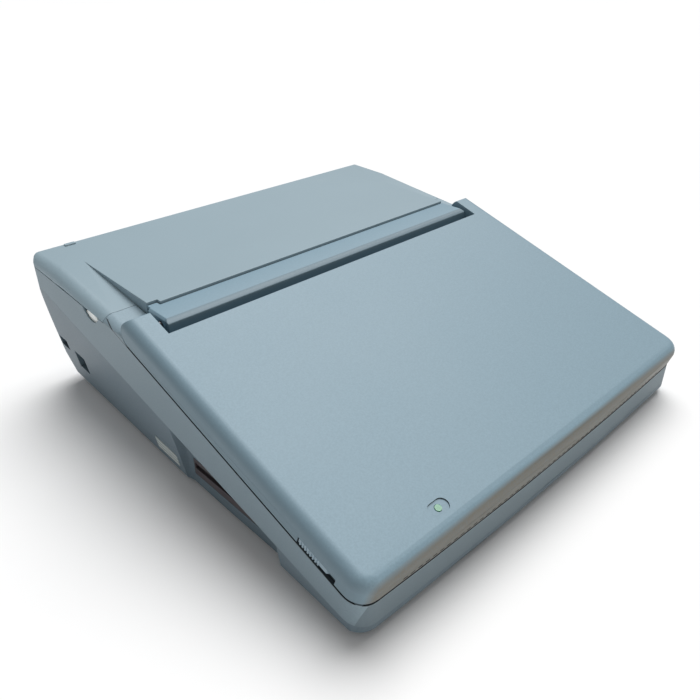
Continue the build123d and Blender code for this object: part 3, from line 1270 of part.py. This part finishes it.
with BuildPart() as carriage_belt:
    inside = pulley_radius + 0.1
    with BuildSketch(Plane(origin=(0, belt_y, belt_z), x_dir=(1, 0, 0), z_dir=(0, 1, 0))) as loop:
        SlotCenterToCenter(2 * pulley_x, 2 * (inside + belt_thickness))
        SlotCenterToCenter(2 * pulley_x, 2 * inside, mode=Mode.SUBTRACT)
    extrude(loop.sketch, amount=belt_width)
finish(carriage_belt, "carriage_belt")

for name, x, bore in (("drive_pulley", -pulley_x, 1.0), ("idle_pulley", pulley_x, 2 + running_gap)):
    with BuildPart() as pulley:
        rod((x, belt_y - 0.4, belt_z), (x, belt_y + belt_width + 0.4, belt_z), pulley_radius)
        rod((x, belt_y - 1, belt_z), (x, belt_y + belt_width + 1, belt_z), bore, Mode.SUBTRACT)
        with BuildSketch(Plane(origin=(x, belt_y - 1, belt_z), x_dir=(1, 0, 0), z_dir=(0, 1, 0))) as holes:
            with PolarLocations(4.1, 3):
                Circle(0.9)
        extrude(holes.sketch, amount=belt_width + 2, mode=Mode.SUBTRACT)
        if name == "drive_pulley":
            rod((x, belt_y - 0.8, belt_z), (x, chassis_front_y + 6, belt_z), 1.5)
    finish(pulley, name)

with BuildPart() as paper_guide:
    guide_inner = platen_radius + 3.2
    guide_outer = guide_inner + 1.0
    across = Plane(origin=(-side_inner, platen_y, platen_z), x_dir=(0, 1, 0), z_dir=(1, 0, 0))
    with BuildSketch(across) as trough:
        with BuildLine():
            CenterArc((0, 0), guide_inner, -28, 38)
            CenterArc((0, 0), guide_outer, -28, 38)
            for angle in (radians(10), radians(-28)):
                Line((guide_inner * cos(angle), guide_inner * sin(angle)),
                     (guide_outer * cos(angle), guide_outer * sin(angle)))
        make_face()
    extrude(trough.sketch, amount=2 * side_inner)
finish(paper_guide, "paper_guide")
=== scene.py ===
import json
import math

import bpy
import bmesh
from mathutils import Matrix, Vector


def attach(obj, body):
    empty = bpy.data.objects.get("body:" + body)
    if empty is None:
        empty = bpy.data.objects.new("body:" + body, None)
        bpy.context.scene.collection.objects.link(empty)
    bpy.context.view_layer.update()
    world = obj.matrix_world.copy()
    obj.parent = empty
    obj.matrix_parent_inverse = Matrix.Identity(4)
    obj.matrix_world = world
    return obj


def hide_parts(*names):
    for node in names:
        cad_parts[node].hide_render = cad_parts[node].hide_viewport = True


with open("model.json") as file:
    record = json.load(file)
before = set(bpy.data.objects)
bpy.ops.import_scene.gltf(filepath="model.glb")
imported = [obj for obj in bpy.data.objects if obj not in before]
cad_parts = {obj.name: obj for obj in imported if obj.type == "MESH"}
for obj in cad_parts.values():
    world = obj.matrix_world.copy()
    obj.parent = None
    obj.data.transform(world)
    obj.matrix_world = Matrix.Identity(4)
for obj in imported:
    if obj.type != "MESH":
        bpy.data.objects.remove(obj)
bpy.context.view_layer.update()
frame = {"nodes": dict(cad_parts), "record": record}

bpy.ops.object.select_all(action="DESELECT")
bpy.context.scene.view_settings.view_transform = "Standard"
nodes = frame["nodes"]
node_body = {n: b for b, names in frame["record"]["behaviour"]["bodies"].items() for n in names}
node_slot = {s["node"]: s["material_slot"] for s in frame["record"]["subparts"]}
MM = 0.001

# the lid in millimetres: the slope of its rim plane, where that starts at the front, half of its width,
# and how far its front is bowed
SLOPE = math.radians(17.2)
RIM_Y, RIM_Z = -176.89, 27.1
HALF_WIDTH = 175.0
FRONT_BOW = 3.0
# directions across the lid, up its slope and off its rim plane, and where the rim starts along the last two
ACROSS = (1.0, 0.0, 0.0)
RUN = (0.0, math.cos(SLOPE), math.sin(SLOPE))
RISE = (0.0, -math.sin(SLOPE), math.cos(SLOPE))
RIM_RUN = RIM_Y * math.cos(SLOPE) + RIM_Z * math.sin(SLOPE)
RIM_RISE = RIM_Z * math.cos(SLOPE) - RIM_Y * math.sin(SLOPE)
LID_UP = Vector(RISE)


def on_lid(x, run, rise):
    """Point on the lid, in metres, from millimetres across, up the slope and off the rim plane."""
    y = RIM_Y + run * math.cos(SLOPE) - rise * math.sin(SLOPE)
    z = RIM_Z + run * math.sin(SLOPE) + rise * math.cos(SLOPE)
    return Vector((x, y, z)) * MM


def lid_axes(point):
    """Millimetres across, up the slope and off the rim plane, of a point in metres."""
    ahead, above = point.y / MM - RIM_Y, point.z / MM - RIM_Z
    return (point.x / MM, ahead * math.cos(SLOPE) + above * math.sin(SLOPE),
            above * math.cos(SLOPE) - ahead * math.sin(SLOPE))


# ---------------------------------------------------------------- shader maths
class Sock:
    """A node socket that takes part in arithmetic."""

    def __init__(self, paint, socket):
        self.paint, self.socket = paint, socket

    def _math(self, operation, *values, clamp=False):
        settings = {"operation": operation, "use_clamp": clamp}
        return self.paint.node("ShaderNodeMath", settings, dict(enumerate(values)))

    def __add__(self, other): return self._math("ADD", self, other)
    def __radd__(self, other): return self._math("ADD", other, self)
    def __sub__(self, other): return self._math("SUBTRACT", self, other)
    def __rsub__(self, other): return self._math("SUBTRACT", other, self)
    def __mul__(self, other): return self._math("MULTIPLY", self, other)
    def clamped(self): return self._math("ADD", self, 0.0, clamp=True)
    def size(self): return self._math("ABSOLUTE", self)
    def least(self, other): return self._math("MINIMUM", self, other)

    def near(self, level, reach):
        """1 within a reach of a level, 0 elsewhere."""
        return self._math("COMPARE", self, level, reach)


class Paint:
    """One material being built."""

    def __init__(self, name):
        self.material = bpy.data.materials.new(name)
        self.material.use_nodes = True
        self.tree = self.material.node_tree
        self.shader = self.tree.nodes["Principled BSDF"]
        self.where = self.node("ShaderNodeTexCoord", output="Object")

    def node(self, kind, settings=None, inputs=None, output=0):
        """Any node: its settings first, then the values or links of its sockets."""
        made = self.tree.nodes.new(kind)
        for key, value in (settings or {}).items():
            if key == "stops":
                ramp = made.color_ramp
                while len(ramp.elements) > len(value):
                    ramp.elements.remove(ramp.elements[-1])
                while len(ramp.elements) < len(value):
                    ramp.elements.new(1.0)
                for element, (place, colour) in zip(ramp.elements, value):
                    element.position = place
                    element.color = (*colour, 1.0)
            else:
                setattr(made, key, value)
        for key, value in (inputs or {}).items():
            self.put(made.inputs[key], value)
        return Sock(self, made.outputs[output])

    def put(self, socket, value):
        if isinstance(value, Sock):
            self.tree.links.new(value.socket, socket)
        else:
            socket.default_value = value

    def noise(self, scale, detail, roughness=0.5, stretch=None):
        """Noise at a given number of features per metre."""
        where = self.where
        if stretch:
            where = self.node("ShaderNodeMapping", None, {"Vector": where, "Scale": stretch})
        return self.node("ShaderNodeTexNoise", None,
                         {"Vector": where, "Scale": scale, "Detail": detail, "Roughness": roughness})

    def along(self, direction):
        """Distance of the shaded point along one direction, in metres."""
        inputs = {0: self.where, 1: direction}
        return self.node("ShaderNodeVectorMath", {"operation": "DOT_PRODUCT"}, inputs, output=1)

    def pores(self, scale):
        """Distance to the nearest of many points, at a given number per metre."""
        return self.node("ShaderNodeTexVoronoi", None, {"Vector": self.where, "Scale": scale})

    def bricks(self, scale, offset, **sizes):
        """1 on the faces of a brick pattern, 0 on the lines between them."""
        inputs = {"Vector": self.where, "Scale": scale, "Color1": rgba(WHITE), "Color2": rgba(WHITE),
                  "Mortar": rgba(BLACK)}
        inputs.update((key.replace("_", " "), value) for key, value in sizes.items())
        return self.node("ShaderNodeTexBrick", {"offset": offset}, inputs)

    def ramp(self, value, *stops):
        return self.node("ShaderNodeValToRGB", {"stops": stops}, {"Fac": value})

    def mix(self, factor, a, b):
        """Colour between a and b."""
        return self.node("ShaderNodeMix", {"data_type": "RGBA"}, {0: factor, 6: a, 7: b}, output=2)

    def bump(self, height, strength, distance):
        inputs = {"Height": height, "Strength": strength, "Distance": distance}
        return self.node("ShaderNodeBump", None, inputs)

    def fix(self, **values):
        """Sockets that are the same all over."""
        for key, value in values.items():
            self.shader.inputs[key.replace("_", " ")].default_value = value

    def colour(self, value):
        self.put(self.shader.inputs["Base Color"], value)

    def rough(self, value):
        self.put(self.shader.inputs["Roughness"], value)

    def normal(self, value):
        self.put(self.shader.inputs["Normal"], value)


def rgba(colour, factor=1.0):
    return tuple(c * factor for c in colour) + (1.0,)


# ---------------------------------------------------------------- finishes
BLACK, WHITE = (0.0,) * 3, (1.0,) * 3
# near-black painted shade: the shadow in the seam under the lid's rim, and in the lid's recesses and slots
PAINTED_SHADE_DARK = (0.022, 0.028, 0.034)
DUST = (0.62, 0.62, 0.60)
GRAIN = 1400.0               # grain of the plastics, in features per metre
GRAIN_DEPTH = 0.00005        # and its depth in metres
MOTTLE = 0.03                # how far the colour of the plastics wanders, as a share
CASE_DROP = 0.8              # of the case's upper edge below the lid's rim plane, in millimetres


def rim_masks(paint):
    """Masks of painted shade: the near-black shadow on the strip of the case under the lid's rim, and the
    shade on the case's front wall below it.
    """
    level = (RIM_RISE - CASE_DROP) * MM
    rise = paint.along(RISE)
    across = paint.along(ACROSS)
    bow = across * across * (FRONT_BOW / (HALF_WIDTH ** 2 * MM))
    deep = paint.along(RUN) - (RIM_RUN - FRONT_BOW) * MM - bow
    inward = deep.least(HALF_WIDTH * MM - across.size())
    # each mask has a middle and a reach, in from the outline and down from the case's upper edge
    strip = inward.near(1.1 * MM, 1.5 * MM) * rise.near(level, 0.3 * MM)
    wall = deep.near(-10.0 * MM, 10.6 * MM) * rise.near(level - 50.0 * MM, 49.4 * MM)
    return strip, wall


def side_wall_shade(paint, start):
    """Mask of the painted shade on the side walls: 0 up to a start, in millimetres from the middle, and
    rising outward.
    """
    per_metre = 150.0
    side = paint.along(ACROSS).size()
    return paint.ramp((side - start * MM) * per_metre, (0.0, BLACK), (1.0, WHITE))


def shaded(paint, mask, tone, colour):
    """Painted shade: a tone, going to half of the colour where a mask is 1."""
    return paint.mix(mask, tone, rgba(colour, 0.50))


def specked(paint, share, tone, colour, grain):
    """A tone with fine darker specks in it."""
    speck = paint.ramp(paint.noise(grain * 0.6, 2.0, 0.6), (0.35, BLACK), (0.65, WHITE))
    return paint.mix(speck * share, tone, rgba(colour, 0.70))


def grained(paint, colour, rough, grain, depth):
    """Roughness and bump of a fine grain; returns a faint mottling, and the colour with it."""
    cloud = paint.noise(9.0, 4.0, 0.6)
    fine = paint.noise(grain, 2.0, 0.55)
    pits = paint.pores(grain * 0.8)
    paint.rough(rough + (cloud - 0.5) * 0.10 + (fine - 0.5) * 0.14)
    paint.normal(paint.bump(fine * 0.7 + pits * 0.6, 0.55, depth))
    return cloud, paint.mix(cloud, rgba(colour, 1 - MOTTLE), rgba(colour, 1 + MOTTLE))


def moulded(name, colour, rough, grain=GRAIN, depth=GRAIN_DEPTH, dust=0.0, speckle=0.10, rim=False,
            painted_shade_front=None):
    """Moulded plastic with a fine grain, faint mottling and specks, and a little dust where it is asked for.

    The rim option paints shade on the side walls and front wall of the case, and a near-black painted shadow
    on its strip under the lid's rim. A shaded front is painted shade, darker ahead of that place in Y, in
    millimetres.
    """
    paint = Paint(name)
    _, tone = grained(paint, colour, rough, grain, depth)
    tone = specked(paint, speckle, tone, colour, grain)
    if dust:
        veil = paint.ramp(paint.noise(60.0, 6.0, 0.7), (0.62, BLACK), (0.78, WHITE))
        tone = paint.mix(veil * dust, tone, rgba(DUST))
    # painted shade on the front, ahead of the given place in Y
    if painted_shade_front:
        ahead = (painted_shade_front * MM - paint.along((0.0, 1.0, 0.0))) * (1 / MM)
        tone = shaded(paint, ahead.clamped() * 0.75, tone, colour)
    # painted shade on the side walls and front wall of the case, and a near-black painted shadow in the seam
    # under the lid's rim
    if rim:
        tone = shaded(paint, side_wall_shade(paint, 170.0) * 0.55, tone, colour)
        strip, wall = rim_masks(paint)
        tone = shaded(paint, wall * 0.75, tone, colour)
        tone = paint.mix(strip * 0.92, tone, rgba(PAINTED_SHADE_DARK))
    paint.colour(tone)
    return paint.material


def lid_plastic(name, colour, front_reflection_colour):
    """The lid's grained plastic, with painted shade on its side walls and a painted brown reflection along
    its front.
    """
    paint = Paint(name)
    cloud, tone = grained(paint, colour, 0.50, GRAIN, GRAIN_DEPTH)
    run = paint.along(RUN) - RIM_RUN * MM
    # painted brown reflection along the front of the lid
    front = paint.ramp(run * 60.0 + (cloud - 0.5) * 0.05, (0.0, WHITE), (0.16, BLACK))
    tone = shaded(paint, side_wall_shade(paint, 167.5) * 0.50, tone, colour)
    tone = paint.mix(front * 0.95, tone, rgba(front_reflection_colour))
    paint.colour(specked(paint, 0.30, tone, colour, GRAIN))
    return paint.material


def brushed(name, colour, rough, along="X"):
    """Metal with fine lines along one axis."""
    paint = Paint(name)
    stretch = {"X": (0.04, 1, 1), "Z": (1, 1, 0.04)}[along]
    lines = paint.noise(2600.0, 3.0, 0.6, stretch)
    stain = paint.noise(40.0, 4.0, 0.6)
    paint.colour(paint.mix(stain, rgba(colour, 0.88), rgba(colour, 1.05)))
    paint.rough(rough + (lines - 0.5) * 0.25 + (stain - 0.5) * 0.15)
    paint.normal(paint.bump(lines, 0.25, 0.00002))
    paint.fix(Metallic=1.0)
    return paint.material


def rubber(name, colour):
    """Matt rubber with a fine texture and uneven dust."""
    paint = Paint(name)
    fine = paint.noise(900.0, 4.0, 0.7)
    dust = paint.noise(120.0, 3.0, 0.6)
    paint.colour(paint.mix(dust, rgba(colour, 0.8), rgba(colour, 1.4)))
    paint.rough(0.75 + (fine - 0.5) * 0.2)
    paint.normal(paint.bump(fine, 0.4, 0.00006))
    paint.fix(Specular_IOR_Level=0.3)
    return paint.material


def circuit(name):
    """Green lacquered board with lighter tracks."""
    paint = Paint(name)
    gaps = paint.bricks(160.0, 0.37, Mortar_Size=0.06)
    cloud = paint.noise(30.0, 3.0, 0.5)
    body = paint.mix(cloud, (0.020, 0.115, 0.050, 1), (0.030, 0.150, 0.065, 1))
    paint.colour(paint.mix(gaps, (0.050, 0.230, 0.090, 1), body))
    paint.rough(0.35 + (cloud - 0.5) * 0.1)
    paint.normal(paint.bump(gaps, 0.3, 0.00005))
    paint.fix(Coat_Weight=0.3)
    return paint.material


def glassy(name, colour):
    """Dark glass of the display, with faint cell lines."""
    paint = Paint(name)
    cells = paint.bricks(1500.0, 0.0, Mortar_Size=0.04, Brick_Width=0.5, Row_Height=0.5)
    smear = paint.noise(25.0, 4.0, 0.6)
    paint.colour(paint.mix(cells * 0.35, rgba(colour, 0.8), rgba(colour)))
    paint.rough(0.12 + (smear - 0.5) * 0.1)
    paint.fix(Specular_IOR_Level=0.6, Coat_Weight=0.6, Coat_Roughness=0.05)
    return paint.material


def lens_paint(name, colour):
    """Green lens, a little cloudy, that glows very faintly."""
    paint = Paint(name)
    cloud = paint.noise(300.0, 3.0, 0.6)
    paint.colour(paint.mix(cloud, rgba(colour, 0.85), rgba(colour, 1.1)))
    paint.rough(0.18 + (cloud - 0.5) * 0.08)
    paint.fix(Coat_Weight=0.5, Coat_Roughness=0.08, Emission_Strength=0.03, Emission_Color=rgba(colour))
    return paint.material


def foil(name):
    """Silver foil with darker ruled lines."""
    paint = Paint(name)
    rule = paint.node("ShaderNodeTexWave", {"bands_direction": "Z"}, {"Vector": paint.where, "Scale": 95.0})
    line = paint.ramp(rule, (0.80, BLACK), (0.95, WHITE))
    grain = paint.noise(700.0, 3.0, 0.6)
    paint.colour(paint.mix(line, (0.62, 0.68, 0.66, 1), (0.30, 0.34, 0.34, 1)))
    paint.rough(0.38 + (grain - 0.5) * 0.2)
    paint.normal(paint.bump(grain, 0.2, 0.00003))
    paint.fix(Metallic=0.35)
    return paint.material


# finish of each material slot; every piece in the slot of the shell has a finish of its own instead
finishes = {
    "bezel_dark": moulded("bezel_plastic", (0.080, 0.092, 0.105), rough=0.55),
    "display_glass": glassy("display_glass", (0.045, 0.060, 0.050)),
    "module_metal": brushed("module_sheet_metal", (0.42, 0.42, 0.40), 0.42),
    "key_light": moulded("key_plastic_light", (0.60, 0.61, 0.58), rough=0.55, grain=1800.0),
    "key_grey": moulded("key_plastic_grey", (0.215, 0.235, 0.250), rough=0.55, grain=1800.0),
    "key_base": moulded("black_plastic", (0.018, 0.018, 0.020), rough=0.5),
    "circuit_board": circuit("circuit_board"),
    "drive_black": moulded("drive_plastic", (0.020, 0.021, 0.024), rough=0.45),
    "steel": brushed("bright_steel", (0.60, 0.60, 0.60), 0.28),
    "chassis_steel": brushed("zinc_plated_steel", (0.46, 0.47, 0.46), 0.40, "Z"),
    "platen_rubber": rubber("black_rubber", (0.020, 0.020, 0.021)),
    "gear_plastic": moulded("white_acetal", (0.70, 0.68, 0.62), rough=0.40),
    "knob_light": moulded("knob_plastic", (0.93, 0.97, 0.95), rough=0.45),
    "ribbon_black": moulded("cassette_plastic", (0.012, 0.012, 0.013), rough=0.42),
    "label_foil": foil("rating_foil"),
    "lens_green": lens_paint("indicator_green", (0.02, 0.24, 0.10)),
}
own_finish = {
    "printer_cover": moulded("smooth_cover_plastic", (0.272, 0.370, 0.424), rough=0.46, grain=2200.0,
                             depth=0.00002, dust=0.05, speckle=0.10),
    "floppy_drive": moulded("drive_face_plastic", (0.075, 0.060, 0.066), rough=0.42),
    # the lid's second colour is the painted brown reflection along its front
    "lid_back_shell": lid_plastic("lid_plastic", (0.226, 0.338, 0.408), (0.190, 0.175, 0.140)),
    # painted shade on the front and chamfer of the hinge bar
    "hinge_bar": moulded("bar_plastic", (0.208, 0.326, 0.402), rough=0.48, speckle=0.20, painted_shade_front=26.0),
    # the rim option paints shade on the case's walls and a shadow in the seam under the lid's rim
    "upper_case": moulded("upper_case_plastic", (0.275, 0.375, 0.435), rough=0.50, dust=0.05,
                          speckle=0.30, rim=True),
    # the lower case is a darker copy of the case plastic: painted shade
    "lower_case": moulded("lower_case_plastic_painted_shade", (0.140, 0.198, 0.240), rough=0.50, dust=0.05, speckle=0.30),
    "hinge_pins": brushed("oiled_pin_steel", (0.14, 0.14, 0.15), 0.45),
    "latch_slider_left": moulded("latch_plastic", (0.340, 0.455, 0.530), rough=0.42, speckle=0.05),
}
own_finish["latch_slider_right"] = own_finish["latch_slider_left"]
# near-black painted shade for the lid's recesses, slots and the underside of its rim
recess_shade_paint = moulded("painted_recess_shade", PAINTED_SHADE_DARK, rough=0.80, speckle=0.0)
print_ink = moulded("legend_ink", (0.030, 0.031, 0.034), rough=0.55, speckle=0.0)
for name, obj in nodes.items():
    obj.data.materials.clear()
    obj.data.materials.append(own_finish[name] if name in own_finish else finishes[node_slot[name]])


# ---------------------------------------------------------------- skins with broken edges
SHARP = math.radians(30)     # an edge that turns by more than this is broken
SMOOTH = math.radians(28)    # faces that meet at less than this are shaded as one
FLAT = math.radians(0.6)     # faces that meet at less than this become one
WELD = 0.000002              # vertices closer than this become one, in metres
ROOM = 2.4                   # a broken edge needs faces this many times as wide as itself
ON_RIM = 0.12                # an edge this close to the lid's rim plane is on it, in millimetres


def only(obj):
    bpy.ops.object.select_all(action="DESELECT")
    obj.select_set(True)
    bpy.context.view_layer.objects.active = obj


def soften(obj, width, rim_width):
    """Weigh every sharp outer edge that has room for its rounding; returns the widest rounding."""
    form = bmesh.new()
    form.from_mesh(obj.data)
    weight = form.edges.layers.float.new("bevel_weight_edge")
    widest = max(width, rim_width)
    for edge in form.edges:
        if len(edge.link_faces) != 2 or not edge.is_convex or edge.calc_face_angle(0.0) < SHARP:
            continue
        low, high = (vert.co for vert in edge.verts)
        on_rim = rim_width and all(abs(lid_axes(point)[2]) < ON_RIM for point in (low, high))
        wanted = rim_width if on_rim else width
        along = (high - low).normalized()
        room = min(max((vert.co - low).cross(along).length for vert in face.verts)
                   for face in edge.link_faces)
        if room > ROOM * wanted * MM:
            edge[weight] = wanted / widest
    form.to_mesh(obj.data)
    form.free()
    return widest


def skin(name, width, rim_width=0.0, spot=None, careful=False):
    """Copy of a CAD piece with its sharp edges broken, in place of that piece.

    Edges on the lid's rim plane can have a width of their own. A spot is a second finish with the test
    of which faces have it. A careful skin narrows its edges where they would run into each other.
    """
    obj = bpy.data.objects.new(name + "_skin", nodes[name].data.copy())
    bpy.context.scene.collection.objects.link(obj)
    only(obj)
    bpy.ops.object.mode_set(mode="EDIT")
    bpy.ops.mesh.select_all(action="SELECT")
    bpy.ops.mesh.remove_doubles(threshold=WELD)
    bpy.ops.mesh.dissolve_limited(angle_limit=FLAT)
    bpy.ops.object.mode_set(mode="OBJECT")
    widest = soften(obj, width, rim_width)
    bevel = obj.modifiers.new("edges", "BEVEL")
    bevel.width = widest * MM
    bevel.segments = 2
    bevel.limit_method = "WEIGHT"
    bevel.use_clamp_overlap = careful
    bpy.ops.object.modifier_apply(modifier=bevel.name)
    if spot:
        finish, belongs = spot
        obj.data.materials.append(finish)
        for face in obj.data.polygons:
            if belongs(face.center, face.normal):
                face.material_index = 1
    bpy.ops.object.shade_smooth_by_angle(angle=SMOOTH)
    even = obj.modifiers.new("even_shading", "WEIGHTED_NORMAL")
    even.keep_sharp = True
    bpy.ops.object.modifier_apply(modifier=even.name)
    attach(obj, node_body[name])
    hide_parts(name)


# limits of the faces with painted shade, in millimetres along the lid's own directions
RIM_LIP = 0.9                                  # underside of the rim
SLOT_REACH, SLOT_RISE = 147.0, (1.4, 2.8)      # row of small slots along the front, and their depth
SLOT_DEPTH = (0.2, 1.4)
WINDOW_ACROSS, WINDOW_RUN = -105.5, 14.0       # recessed window over the indicator
WINDOW_SIZE, WINDOW_FLOOR = (15.4, 9.4), 16.3
LATCH_RUN, LATCH_TOP = (19.4, 49.6), 5.1       # latch slots, and their depth in from the side walls
LATCH_INWARD = (0.1, 3.2)
DOWNWARD, STEEP = -0.3, 0.6                    # upward part of a normal: below it, facing down or sideways
# middle and reach of the power jack's pin, in millimetres
PIN_Y, PIN_Z, PIN_REACH = 146.0, 27.5, 1.1


def lid_painted_shade(centre, normal):
    """Faces of the lid with painted shade: under its rim, in its slots, on the walls of its window and in
    its latch slots.
    """
    across, run, rise = lid_axes(centre)
    facing = normal.dot(LID_UP)
    if rise < RIM_LIP and facing < DOWNWARD:
        return True
    deep = run + FRONT_BOW * (1 - (across / HALF_WIDTH) ** 2)
    in_slots = SLOT_RISE[0] < rise < SLOT_RISE[1] and SLOT_DEPTH[0] < deep < SLOT_DEPTH[1]
    if abs(across) < SLOT_REACH and in_slots:
        return True
    in_window = (abs(across - WINDOW_ACROSS) < WINDOW_SIZE[0] / 2
                 and abs(run - WINDOW_RUN) < WINDOW_SIZE[1] / 2 and rise > WINDOW_FLOOR)
    if in_window and facing < STEEP:
        return True
    inward = HALF_WIDTH - abs(across)
    return (LATCH_RUN[0] < run < LATCH_RUN[1] and rise < LATCH_TOP
            and LATCH_INWARD[0] < inward < LATCH_INWARD[1])


def contact_pin(centre, normal):
    """The bare pin in the middle of the power jack."""
    return abs(centre.y / MM - PIN_Y) < PIN_REACH and abs(centre.z / MM - PIN_Z) < PIN_REACH


# broken-edge width, in millimetres, of the pieces that need nothing else of skin()
EDGES = {
    "printer_cover": 0.5, "hinge_bar": 0.4,
    "lid_bezel": 0.30, "display_frame": 0.30, "latch_slider_left": 0.12, "latch_slider_right": 0.12,
    "platen_knob": 0.30, "ribbon_cassette": 0.50, "carriage": 0.30, "print_head": 0.15,
    "release_lever": 0.50, "drive_eject_button": 0.20, "power_button": 0.50, "keyboard_base": 0.30,
    "printer_chassis": 0.25, "pinch_frame": 0.25, "motors": 0.40, "display_panel": 0.30,
    "space_bar": 0.6, "lower_letter_keys": 0.6, "home_letter_keys": 0.6, "upper_letter_keys": 0.6,
    "number_keys": 0.6, "function_keys": 0.6, "enter_key": 0.6, "edit_keys": 0.6, "modifier_keys": 0.6,
    "cursor_keys": 0.6,
}
for name, width in EDGES.items():
    skin(name, width)
skin("upper_case", 0.4, careful=True)
skin("lower_case", 0.4, careful=True)
# the lid's second finish is the painted shade in its recesses and under its rim
skin("lid_back_shell", 0.4, rim_width=0.8, spot=(recess_shade_paint, lid_painted_shade))
skin("power_jack", 0.2, spot=(finishes["steel"], contact_pin))


# ---------------------------------------------------------------- legends printed on the keys
LETTER, WORD = 6.0, 3.8      # text size of a single sign and of a word, in millimetres
INK_HEIGHT = 0.02
ROW_STEP = 5.0               # keys that differ by less than about this, up the slope, are in one row
LEGENDS = {
    "number_keys": "1 2 3 4 5 6 7 8 9 0 - ^ =", "upper_letter_keys": "Q W E R T Y U I O P @ [",
    "home_letter_keys": "A S D F G H J K L ; :", "lower_letter_keys": "Z X C V B N M , . /",
    "function_keys": "ESC F1 F2 F3 F4 F5 F6 F7 F8 F9 F10 F11 F12", "enter_key": "ENTER",
    "edit_keys": "DEL BS", "modifier_keys": "CTRL ALT FN SHIFT SHIFT CAPS TAB", "cursor_keys": "< v ^ >",
}


def key_tops(name):
    """Across, run and rise of every key top in a group, row by row, each row from the left."""
    form = bmesh.new()
    form.from_mesh(nodes[name].data)
    bmesh.ops.remove_doubles(form, verts=form.verts, dist=WELD)
    waiting = set(form.verts)
    tops = []
    while waiting:
        front = [waiting.pop()]
        places = []
        while front:
            vert = front.pop()
            places.append(lid_axes(vert.co))
            for edge in vert.link_edges:
                other = edge.other_vert(vert)
                if other in waiting:
                    waiting.remove(other)
                    front.append(other)
        across, run, rise = zip(*places)
        tops.append(((min(across) + max(across)) / 2, (min(run) + max(run)) / 2, max(rise)))
    form.free()
    return sorted(tops, key=lambda top: (round(top[1] / ROW_STEP), top[0]))


def printed(text, across, run, rise):
    """One legend as a thin raised print, set square on the slope."""
    bpy.ops.object.select_all(action="DESELECT")
    bpy.ops.object.text_add()
    word = bpy.context.active_object
    word.data.body = text
    word.data.size = (LETTER if len(text) == 1 else WORD) * MM
    word.data.extrude = INK_HEIGHT * MM
    word.data.resolution_u = 3
    word.data.align_x, word.data.align_y = "CENTER", "CENTER"
    bpy.ops.object.convert(target="MESH")
    word = bpy.context.active_object
    word.matrix_world = Matrix.Translation(on_lid(across, run, rise)) @ Matrix.Rotation(SLOPE, 4, "X")
    bpy.ops.object.transform_apply(location=True, rotation=True, scale=True)
    return word


for name, words in LEGENDS.items():
    marks = [printed(text, *top) for text, top in zip(words.split(), key_tops(name))]
    only(marks[0])
    for mark in marks:
        mark.select_set(True)
    if len(marks) > 1:
        bpy.ops.object.join()
    marks[0].name = name + "_legends"
    marks[0].data.materials.append(print_ink)
    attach(marks[0], node_body[name])

# ---------------------------------------------------------------- floor, light and camera
bpy.ops.object.select_all(action="DESELECT")
bpy.ops.mesh.primitive_plane_add(size=30.0, location=(0, 0, 0))
floor = bpy.context.active_object
floor.name = "floor"
floor_paint = Paint("pale_floor")
cloud = floor_paint.noise(3.0, 3.0)
floor_paint.colour(floor_paint.mix(cloud, rgba(WHITE, 0.90), rgba(WHITE, 0.93)))
floor_paint.fix(Roughness=0.9, Specular_IOR_Level=0.1)
floor.data.materials.append(floor_paint.material)

world = bpy.data.worlds.new("studio")
bpy.context.scene.world = world
world.use_nodes = True
world.node_tree.nodes["Background"].inputs["Color"].default_value = rgba(WHITE)
world.node_tree.nodes["Background"].inputs["Strength"].default_value = 0.30


def lamp(name, kind, energy, place, direction, **settings):
    """A light at a place that shines in a direction."""
    light = bpy.data.lights.new(name, kind)
    light.energy = energy
    for key, value in settings.items():
        setattr(light, key, value)
    obj = bpy.data.objects.new(name, light)
    obj.location = place
    obj.rotation_euler = Vector(direction).to_track_quat("-Z", "Y").to_euler()
    bpy.context.scene.collection.objects.link(obj)


lamp("ceiling", "SUN", 2.9, (0, 0, 0), (-0.40, -0.24, -0.88), angle=math.radians(50))
lamp("front_fill", "AREA", 1.0, (0.1, -1.3, 0.12), (-0.1, 1.3, -0.09), shape="RECTANGLE", size=1.6,
     size_y=0.25, color=(1.0, 0.70, 0.42))

camera = bpy.data.cameras.new("camera")
camera.lens = 35.82
camera.sensor_width = 36.0
camera.clip_start, camera.clip_end = 0.01, 50.0
eye = bpy.data.objects.new("camera", camera)
azimuth, elevation, roll = (math.radians(v) for v in (-43.617, 30.737, -0.303))
back = Vector((math.sin(azimuth) * math.cos(elevation), -math.cos(azimuth) * math.cos(elevation),
               math.sin(elevation)))
eye.location = Vector((-337.2, -341.8, 318.3)) * MM
eye.rotation_mode = "QUATERNION"
eye.rotation_quaternion = (-back).to_track_quat("-Z", "Y") @ Matrix.Rotation(roll, 4, "Z").to_quaternion()
bpy.context.scene.collection.objects.link(eye)
bpy.context.scene.camera = eye
